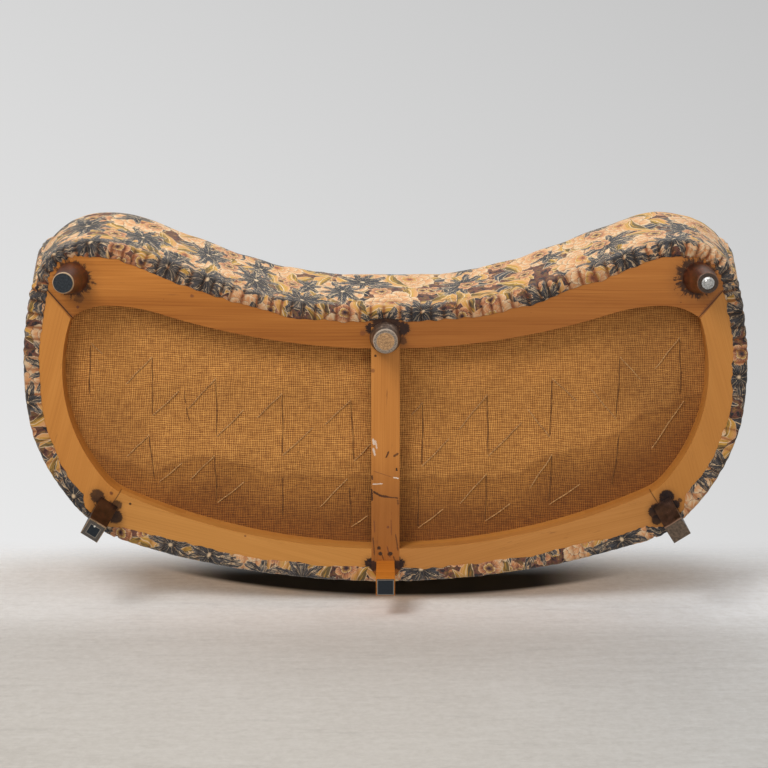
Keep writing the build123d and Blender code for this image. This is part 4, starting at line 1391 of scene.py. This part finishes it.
def hemPuff(run, gather):
    # puffs between the tacks: how thick, how strongly creased (how much painted shade lies in the creases),
    # and the fold of the gathers
    fold = math.sin(run / hemLook["pleatPitch"] * math.tau + 3 * wobble(run * 8, 0, 4))
    wander = 1.6 * wobble(run * 13, 1.2, 9)
    lump = abs(math.sin(math.pi * run / hemLook["lump"] + wander)) ** 0.55
    loose = 0.75 + 0.6 * wobble(run * 6, 5.5, 2)
    loft = float(np.interp(min(abs(run), 2 * halfRun - abs(run)), *zip(*hemLook["loft"])))
    parted = 1 - loft * 0.88 * (1 - lump)
    puff = hemLook["puff"] * loose * loft * parted + gather * (fold + 1) * 0.0020 * loft
    return puff, 1.9 * loft * (1 - lump) ** 1.8, fold


def hemProfile(run, tree):
    # the hem's section, from its raw edge under the rail to its top, with soil and painted shade over it,
    # darkest in its creases
    gather = pleatShare(run)
    puff, crease, fold = hemPuff(run, gather)
    wild = wobble(run * 11, 2.3) + 0.5 * wobble(run * 47, 7.1)
    x, y = edgeSpot(run, hemLook["reach"])
    inner = hemLook["reach"] + wild * 0.0075 + keepOff(x, y) + gather * fold * 0.0028
    level, thick = hemLook["level"], hemLook["thick"]
    profile = [(inner + 0.0012, level - 0.0002), (inner - 0.0003, level - 0.0008)]
    profile.append((inner + 0.0004, level - thick))
    cornerAway, cornerLevel = hemLook["corner"]
    for share in hemLook["under"]:
        away = inner + (cornerAway - inner) * share
        small = 0.0012 * wobble(run * 75, away * 110)
        swollen = puff * 0.9 * math.sin(math.pi * 0.5 * share) + small
        profile.append((away, level - thick - max(0, swollen)))
    # soil and painted shade under the rail, darker in the creases between the puffs
    soil = [0.75 + crease] * len(profile)
    # out over the corner and up the front, pressed onto the cover behind it
    top = hemLook["rise"] + 0.006 * wobble(run * 9, 3.1, 1)
    rays = [(math.radians(turn), cornerLevel) for turn in hemLook["cornerTurns"]]
    rays += [(math.pi / 2, outline["legHeight"] + top * share) for share in hemLook["upright"]]
    for number, (angle, height) in enumerate(rays):
        wayOut, wayUp = math.sin(angle), -math.cos(angle)
        done = number / (len(rays) - 1)
        slant = 0.0012 * wobble(run * 60, done * 3, 8)
        gap = (puff + slant) * (1 - done**1.7) ** 0.8 * 1.15 + 0.0012 * (1 - done) - 0.0014 * done
        outX, outY = edgeSpot(run, cornerAway + wayOut * hemLook["ray"])
        inX, inY = edgeSpot(run, cornerAway)
        origin = Vector((outX, outY, height + wayUp * hemLook["ray"]))
        aim = Vector((inX, inY, height)) - origin
        hit = tree.ray_cast(origin, aim.normalized(), hemLook["ray"] + 0.005)
        reach = hemLook["ray"] - (hit[3] if hit[0] is not None else 0.11)
        reach = max(0.004, reach) + gap
        profile.append((cornerAway + wayOut * reach, height + wayUp * reach))
        # up the front the darkening fades, with a line of painted shade where the roll meets the seat front
        soil.append((0.75 + crease) * (1 - done) + 1.1 * math.exp(-(((done - 0.86) / 0.10) ** 2)))
    return profile, soil


def addHem(name, node, start, end, tree, fromRear):
    count = max(8, round((end - start) / hemLook["step"]))
    spots, sheetPlaces, creases = [], [], []
    for k in range(count + 1):
        run = start + (end - start) * k / count
        profile, soil = hemProfile(run, tree)
        creases += soil
        length = [0.0]
        for (a, z), (b, w) in zip(profile[::-1], profile[-2::-1]):
            length.append(length[-1] + math.hypot(a - b, z - w))
        base = (halfRun - abs(run)) * (-1 if run < 0 else 1) if fromRear else run
        top = profile[-1][1]
        for (a, z), down in zip(profile, length[::-1]):
            x, y = edgeSpot(run, a)
            spots.append((x, y, z))
            sheetPlaces.append((base, top - down + (0.02 if fromRear else 0)))
    rows = len(profile)
    corners = [k * rows + row for k in range(count) for row in range(rows - 1)]
    faces = [(a, a + rows, a + rows + 1, a + 1) for a in corners]
    piece = newPiece(name, spots, faces, "cover_cloth", cloth, (node,))
    setCloth(piece, *np.array(sheetPlaces).T)
    setSoilAndShade(piece, np.array(creases))
    area = sum(face.area for face in piece.data.polygons)
    length = end - start
    area / length


frontTree = surfaceTree([seat, covers["armFacingLeft"], covers["armFacingRight"]])
wallTree = surfaceTree([covers["outsideBack"], covers["outsideArmLeft"], covers["outsideArmRight"]])
addWelts()
print("piping ready")
arm, join = hemLook["armRun"], hemLook["joinRun"]
addHem("frontHem", "front_hem", -arm, arm, frontTree, False)
addHem("sideHemRight", "side_hem_right", arm, join, wallTree, True)
addHem("sideHemLeft", "side_hem_left", -join, -arm, wallTree, True)
addHem("rearHem", "rear_hem", join, 2 * halfRun - join, wallTree, True)
print("hems ready")


# hessian under the springs, its twine and the springs
baseLook = {
    "level": 0.1789,
    "pitch": 0.006,
    "edge": -0.030,
    "sag": 0.0045,
    "bulge": 0.0035,
    "spread": 0.048,
    "flat": (0.768, 1.596),
    "spanX": (-0.798, 0.7981),
    "spanY": (-0.408, 0.360),
    # the damp mark's front edge, from left to right
    "tideX": (
        (-0.70, -0.63, -0.556, -0.471, -0.397, -0.318, -0.285, -0.174, -0.061, 0.048)
        + (0.195, 0.318, 0.332, 0.380, 0.482, 0.497, 0.545, 0.625, 0.697)
    ),
    "tideY": (
        (0.060, 0.095, 0.116, 0.090, 0.076, 0.105, 0.124, 0.131, 0.124, 0.138)
        + (0.130, 0.130, 0.110, 0.075, 0.060, 0.044, 0.024, -0.030, -0.066)
    ),
    "twine": 0.0015,
    "twineStep": 0.007,
    "drawnIn": 0.0026,
    "uprightWithin": 0.022,
}


def springPlaces():
    # the lowest and highest corner round each spring's solid
    mesh = bmesh.new()
    mesh.from_mesh(nodes["seat_springs"].data)
    mesh.verts.index_update()
    seen, found = set(), []
    for first in mesh.verts:
        if first.index in seen:
            continue
        seen.add(first.index)
        queue, island = [first], []
        while queue:
            vert = queue.pop()
            island.append(vert.co.copy())
            for edge in vert.link_edges:
                other = edge.other_vert(vert)
                if other.index not in seen:
                    seen.add(other.index)
                    queue.append(other)
        low = Vector([min(p[k] for p in island) for k in range(3)])
        high = Vector([max(p[k] for p in island) for k in range(3)])
        if not any((low + high - a - b).length < 0.04 for a, b in found):
            found.append((low, high))
    mesh.free()
    return found


springs = springPlaces()
print("springs found:", len(springs))


def baseLevel(x, y):
    # the hessian's underside: a slack sheet, with the springs pressing through it
    _, away = edgePlace(x, y)
    loose = float(smoothShare(-away, 0.075, 0.150))
    drop = baseLook["sag"] * loose * (0.6 + 0.5 * wobble(x * 5, y * 5, 1))
    for low, high in springs:
        gap = math.hypot(x - (low.x + high.x) / 2, y - (low.y + high.y) / 2)
        drop += baseLook["bulge"] * loose * math.exp(-((gap / baseLook["spread"]) ** 2))
    drop += loose * 0.0009 * wobble(x * 26 + y * 9, y * 17, 3)
    return baseLook["level"] - drop


def addHessian():
    # a flat grid inside the frame's outline, with its slack and its damp mark
    index, spots, faces = {}, [], []
    xs, ys = (np.arange(*baseLook[key], baseLook["pitch"]) for key in ("spanX", "spanY"))

    def corner(i, j):
        if (i, j) not in index:
            x, y = float(xs[i]), float(ys[j])
            _, away = edgePlace(x, y)
            index[(i, j)] = -1
            if away < baseLook["edge"]:
                index[(i, j)] = len(spots)
                spots.append((x, y, baseLevel(x, y)))
        return index[(i, j)]

    for i in range(len(xs) - 1):
        for j in range(len(ys) - 1):
            ring = corner(i, j), corner(i, j + 1), corner(i + 1, j + 1), corner(i + 1, j)
            if min(ring) >= 0:
                faces.append(ring)
    used = sorted({k for face in faces for k in face})
    back = {old: new for new, old in enumerate(used)}
    spots = [spots[k] for k in used]
    faces = [tuple(back[k] for k in face) for face in faces]
    material = hessianWeave("baseWeave")
    piece = newPiece("baseHessian", spots, faces, "base_cloth", material, ("base_hessian",))
    places = np.array(spots)
    wavy = 0.012 * np.array([wobble(x * 14, y * 14, 6) for x, y, _ in spots])
    tide = np.interp(places[:, 0], baseLook["tideX"], baseLook["tideY"])
    damp = np.clip(0.5 + (places[:, 1] + wavy - tide) / 0.05, 0, 4)
    piece.data.attributes.new("damp", "FLOAT", "POINT").data.foreach_set("value", damp)


# the twine's stitches, as places on the plan
stitches = [
    [(-0.610, 0.082), (-0.555, 0.028), (-0.545, 0.139)],
    [(-0.534, 0.144), (-0.479, 0.096)],
    [(-0.462, 0.139), (-0.402, 0.077), (-0.399, 0.197), (-0.333, 0.144)],
    [(-0.243, 0.129), (-0.244, 0.236)],
    [(-0.156, 0.207), (-0.090, 0.135)],
    [(-0.085, 0.153), (-0.081, 0.256), (-0.042, 0.228)],
    [(0.078, 0.141), (0.078, 0.259), (0.138, 0.211)],
    [(0.176, 0.198), (0.239, 0.123), (0.237, 0.242), (0.296, 0.198)],
    [(0.341, 0.160), (0.392, 0.074), (0.388, 0.201), (0.461, 0.150)],
    [(0.550, 0.024), (0.536, 0.155)],
    [(0.627, 0.062), (0.698, -0.053)],
    [(-0.658, -0.165), (-0.685, -0.191), (-0.692, -0.066)],
    [(-0.607, -0.093), (-0.542, -0.160), (-0.546, -0.017), (-0.482, -0.078)],
    [(-0.471, -0.081), (-0.468, -0.042), (-0.460, -0.001)],
    [(-0.462, -0.035), (-0.395, -0.110), (-0.396, 0.033), (-0.332, -0.031)],
    [(-0.302, -0.012), (-0.241, -0.073), (-0.242, 0.077), (-0.170, 0.012)],
    [(-0.143, 0.005), (-0.081, -0.057), (-0.074, 0.091), (-0.035, 0.051)],
    [(0.060, -0.018), (0.088, -0.050), (0.086, 0.104), (0.150, 0.038)],
    [(0.172, 0.017), (0.238, -0.070), (0.242, 0.079), (0.320, 0.000)],
    [(0.333, -0.033), (0.387, 0.035), (0.389, -0.109), (0.448, -0.053)],
    [(0.481, -0.081), (0.541, -0.009), (0.546, -0.159), (0.597, -0.103)],
    [(0.628, -0.130), (0.684, -0.205), (0.690, -0.066)],
]


def addTwine():
    # slanting stitches lie on the cloth; the upright ones are half drawn into it and painted dark, as
    # painted shade
    for name, upright, thin, low, high in (
        ("springTwine", False, 1.0, (0.24, 0.105, 0.030), (0.62, 0.34, 0.13)),
        ("springTwineDrawn", True, 0.75, (0.075, 0.028, 0.008), (0.24, 0.100, 0.028)),
    ):
        radius = baseLook["twine"] * thin
        proud = radius * (0.25 if upright else 0.9)
        paths = []
        for (x0, y0), (x1, y1) in (pair for stitch in stitches for pair in zip(stitch, stitch[1:])):
            if (abs(x1 - x0) < baseLook["uprightWithin"]) != upright:
                continue
            count = max(4, round(math.hypot(x1 - x0, y1 - y0) / baseLook["twineStep"]))
            path = []
            for k in range(count + 1):
                share = k / count
                x = x0 + (x1 - x0) * share + 0.0008 * math.sin(share * 9 + x0 * 40)
                y = y0 + (y1 - y0) * share
                sunk = baseLook["drawnIn"] * max(0, 1 - min(share, 1 - share) * count / 1.2)
                path.append((x, y, baseLevel(x, y) - proud + sunk))
            paths.append(path)
        material = plainFinish(name + "Finish", low, high, 220.0, 0.85)
        newPiece(name, *manyTubes(paths, radius, 6), "base_cloth", material)


coil = {"turns": 5, "perTurn": 20, "wire": 0.0018, "waist": 0.028, "end": 0.0415, "lap": 0.12}


def addSprings():
    # waisted coils whose end turns lie flat
    paths, lap = [], coil["lap"]
    for low, high in springs:
        x, y = (low.x + high.x) / 2, (low.y + high.y) / 2
        base, rise = low.z + coil["wire"], high.z - low.z - 2 * coil["wire"]
        count = coil["turns"] * coil["perTurn"]
        path = []
        for k in range(count + 1):
            share = k / count
            even = np.clip((share - lap) / (1 - 2 * lap), 0, 1)
            climb = smoothShare(share, lap, 1 - lap) * 0.35 + even * 0.65
            reach = coil["waist"] + (coil["end"] - coil["waist"]) * abs(2 * share - 1) ** 1.4
            angle = math.tau * k / coil["perTurn"]
            height = base + rise * float(climb)
            path.append((x + reach * math.cos(angle), y + reach * math.sin(angle), height))
        paths.append(path)
    material = plainFinish("springFinish", (0.10, 0.075, 0.06), (0.36, 0.33, 0.30), 160.0, 0.42, 0.85)
    newPiece("coilSprings", *manyTubes(paths, coil["wire"], 6), "spring_steel", material, ("seat_springs",))


addHessian()
addTwine()
addSprings()
print("hessian, twine and springs ready")


# finishes of the frame, legs and hidden cloths
legs = outline["legs"]
# places on the underside: x, y, reach, a mark's tone, depth, and for some stains how ragged they are
frontStains = [
    (-0.711, -0.352, 0.043, 0.85),
    (-0.700, -0.306, 0.012, 0.45),
    (0.709, -0.354, 0.047, 0.9),
    (-0.031, -0.236, 0.015, 0.95),
    (0.039, -0.236, 0.017, 0.95),
    (0.040, -0.208, 0.010, 0.6),
]
rearStains = [
    (*legs["rearLeft"], 0.027, 0.95),
    (-0.674, 0.165, 0.018, 0.85, 0.6),
    (-0.630, 0.186, 0.013, 0.8, 0.6),
    (-0.634, 0.214, 0.018, 0.9, 0.6),
    (*legs["rearRight"], 0.030, 0.95, 0.4),
    (0.659, 0.167, 0.019, 0.98, 0.35),
    (0.679, 0.185, 0.012, 0.95, 0.4),
    (0.634, 0.201, 0.018, 0.95, 0.45),
    (0.637, 0.222, 0.013, 0.9, 0.5),
    (0.690, 0.174, 0.005, 0.7),
    (-0.033, 0.332, 0.018, 0.98),
    (0.031, 0.330, 0.015, 0.98),
]
rust, hole = (0.16, 0.05, 0.02), (0.02, 0.008, 0.005)
whiting, gash = (0.80, 0.74, 0.64), (0.060, 0.020, 0.009)
mitreStreak = [((0.7741, -0.3280), (0.7190, -0.2633), 0.0060, rust, 0.55)]
railMarks = [
    (-0.052, -0.226, 0.008, rust, 0.6),
    (-0.442, -0.312, 0.005, rust, 0.7),
    (-0.704, -0.286, 0.004, rust, 0.9),
]
sideMarks = [(-0.641, 0.158, 0.006, rust, 0.9)]
rearMarks = [(-0.598, 0.183, 0.0032, hole, 0.9), (-0.33, 0.262, 0.003, rust, 0.8)]
boardMarks = [
    (-0.023, -0.172, 0.004, hole, 0.9),
    (-0.029, -0.137, 0.006, rust, 0.6),
    (-0.015, 0.292, 0.0055, hole, 0.9),
    (0.010, 0.306, 0.0055, hole, 0.9),
    (0.006, 0.240, 0.004, rust, 0.8),
]
boardLines = [
    ((-0.0290, 0.0240), (-0.0262, 0.0420), 0.0030, whiting, 0.60),
    ((-0.0240, 0.0280), (-0.0195, 0.0520), 0.0024, whiting, 0.50),
    ((-0.0290, 0.0460), (-0.0240, 0.0680), 0.0030, whiting, 0.55),
    ((0.0003, 0.0728), (0.0087, 0.0542), 0.0022, gash, 0.90),
    ((0.0180, 0.0690), (0.0310, 0.0600), 0.0032, gash, 0.80),
    ((0.0255, 0.0950), (0.0268, 0.1040), 0.0026, hole, 0.95),
    ((-0.0320, 0.1022), (0.0172, 0.1188), 0.0009, rust, 0.70),
    ((0.0172, 0.1188), (0.0325, 0.1212), 0.0017, whiting, 0.75),
    ((-0.0319, 0.1355), (-0.0043, 0.1340), 0.0017, whiting, 0.65),
    ((-0.0320, 0.1130), (-0.0298, 0.1260), 0.0026, gash, 0.85),
    ((-0.0328, 0.1450), (-0.0312, 0.1780), 0.0034, hole, 0.90),
    ((-0.0310, 0.1520), (-0.0090, 0.1650), 0.0032, hole, 0.85),
    ((-0.0150, 0.1622), (0.0090, 0.1676), 0.0034, gash, 0.90),
    ((0.0020, 0.1664), (0.0325, 0.1693), 0.0018, gash, 0.85),
    ((0.0280, 0.1720), (0.0305, 0.1860), 0.0026, gash, 0.60),
    ((-0.0271, 0.2200), (-0.0248, 0.2560), 0.0015, rust, 0.75),
    ((0.0130, 0.2180), (0.0142, 0.2640), 0.0015, rust, 0.65),
    ((-0.0300, 0.2600), (-0.0255, 0.3120), 0.0018, gash, 0.70),
    ((0.0235, 0.2540), (0.0300, 0.3020), 0.0020, gash, 0.70),
    ((0.0030, 0.2850), (0.0120, 0.3180), 0.0020, rust, 0.80),
    ((-0.0120, 0.2980), (-0.0030, 0.3240), 0.0018, gash, 0.65),
    ((0.0180, 0.3100), (0.0250, 0.3320), 0.0022, gash, 0.70),
]
boardStains = [
    (0.003, -0.244, 0.038, 0.95),
    (-0.030, 0.336, 0.013, 0.9),
    (0.030, 0.334, 0.012, 0.9),
]
# joints of the rails, and darker tones towards one end of a board: on the front rails painted shade towards
# their middle, on the stretcher a darker, redder rear end
mitreGaps = ((-1, 0.0017), (1, 0.0008))
mitre = [((s * 0.7741, -0.3280), (s * 0.7180, -0.2621), width) for s, width in mitreGaps]
butt = [((s * 0.6245, 0.1597), (s * 0.6355, 0.1768), 0.0007) for s in (-1, 1)]
paintedFrontShade = (-0.36, -0.24, (0.80, 0.76, 0.72))
boardShade = (0.02, 0.21, (0.66, 0.60, 0.58))
frontLook = {"stains": frontStains, "shade": paintedFrontShade}
sideLook = {"stains": frontStains + rearStains, "grain": 0.35}
rearLook = {"stains": rearStains, "grain": 0.42}
boardLook = {"cracks": 0.5, "grain": 0.6, "shade": boardShade}
boardLook |= {"stains": boardStains, "marks": boardMarks, "lines": boardLines}
leftSeams, rightSeams = mitre[:1] + butt[:1], mitre[1:] + butt[1:]
# each board's grain angle, tint and the rest of its look
boards = [
    ("front_rail_left", 0.0, (0.84, 0.73, 0.63), frontLook | {"marks": railMarks, "seams": mitre[:1]}),
    ("front_rail_right", 0.0, (0.79, 0.69, 0.66), frontLook | {"seams": mitre[1:], "lines": mitreStreak}),
    ("side_rail_left", 1.85, (0.93, 0.89, 0.90), sideLook | {"marks": sideMarks, "seams": leftSeams}),
    ("side_rail_right", 1.29, (0.90, 0.90, 0.98), sideLook | {"seams": rightSeams}),
    ("rear_rail_left", 0.26, (0.97, 1.02, 1.18), rearLook | {"marks": rearMarks, "seams": butt[:1]}),
    ("rear_rail_right", -0.26, (0.86, 0.87, 1.06), rearLook | {"cracks": 0.25, "seams": butt[1:]}),
    ("centre_stretcher", 1.5708, (0.95, 0.88, 0.90), boardLook),
    ("upper_front_rail", 0.0, (0.80, 0.70, 0.60), {}),
    ("upper_rear_rail", 0.0, (0.95, 0.95, 1.0), {"grain": 0.5}),
    ("upper_side_rail_left", 1.80, (0.86, 0.82, 0.80), {"grain": 0.5}),
    ("upper_side_rail_right", 1.34, (0.86, 0.82, 0.82), {"grain": 0.5}),
]
for name, angle, tint, look in boards:
    dressNode(name, pine(name + "Pine", angle, tint, **look))
oxblood, rubbed, paleEnd = (legLook[key] for key in ("oxblood", "rubbed", "paleEnd"))
# stain, worn wood, height of the worn tip and tone of the end
legTones = {
    "left": (oxblood, rubbed, 0.004, paleEnd),
    # painted shade: the right leg's end is dark, as the shadow above its glide
    "right": (oxblood, (0.22, 0.12, 0.07), 0.002, (0.06, 0.035, 0.022)),
    "centre": ((0.13, 0.074, 0.048), (0.40, 0.31, 0.23), 0.006, (0.64, 0.36, 0.16)),
    "leftPost": ((0.050, 0.017, 0.008), (0.30, 0.19, 0.11), 0.003, paleEnd),
    "rightPost": ((0.060, 0.031, 0.022), (0.26, 0.16, 0.11), 0.003, (0.15, 0.10, 0.065)),
}
# dark tone, light tone and grain of the plain finishes
slate = (0.010, 0.012, 0.015), (0.034, 0.040, 0.046), 260.0
brightSteel = (0.42, 0.41, 0.39), (0.74, 0.73, 0.71), 190.0
rustySteel = (0.05, 0.03, 0.02), (0.14, 0.09, 0.06), 400.0
beech = plainFinish("rawBeech", (0.40, 0.26, 0.15), (0.62, 0.45, 0.28), 9.0, 0.65, stretch=(1, 1, 12))
innerWeave = hessianWeave("innerWeave", stained=False, tint=1.15)
webWeave = hessianWeave("webWeave", stained=False, pitch=0.003, tint=0.85)
dressed = {
    "front_left_leg": stainedWood("leftLegStain", *legTones["left"], 0.25),
    "front_right_leg": stainedWood("rightLegStain", *legTones["right"], 0.2),
    "front_centre_leg": stainedWood("centreLegStain", *legTones["centre"], 0.85, turned=True),
    "rear_left_post": stainedWood("leftPostStain", *legTones["leftPost"], 0.12),
    "rear_right_post": stainedWood("rightPostStain", *legTones["rightPost"], 0.25),
    "rear_centre_post": pine("centrePostPine", 0.0, (1.0, 0.80, 0.46), 0.7),
    "front_left_pad": plainFinish("slatePad", *slate, 0.8),
    "rear_left_pad": squarePad("rearLeftPad", (-0.66748, 0.21011), 123, 0.62, (-0.6638, 0.1993)),
    "rear_centre_pad": squarePad("rearCentrePad", (0.0, 0.34578), 90, 0.90),
    "front_right_glide": plainFinish("glideSteel", *brightSteel, 0.28, 1.0, 0.0001),
    "stretcher_screws": plainFinish("screwSteel", *rustySteel, 0.5, 0.8),
}
dressed |= dict.fromkeys(("arm_post_left", "arm_post_right", *wallLook["frame"]), beech)
hessians = ("spring_hessian", "back_hessian", "arm_hessian_left", "arm_hessian_right")
dressed |= dict.fromkeys(hessians, innerWeave)
dressed |= dict.fromkeys(("back_webbing", "seat_webbing_cross", "seat_webbing_long"), webWeave)
for name, material in dressed.items():
    dressNode(name, material)
print("frame dressed")
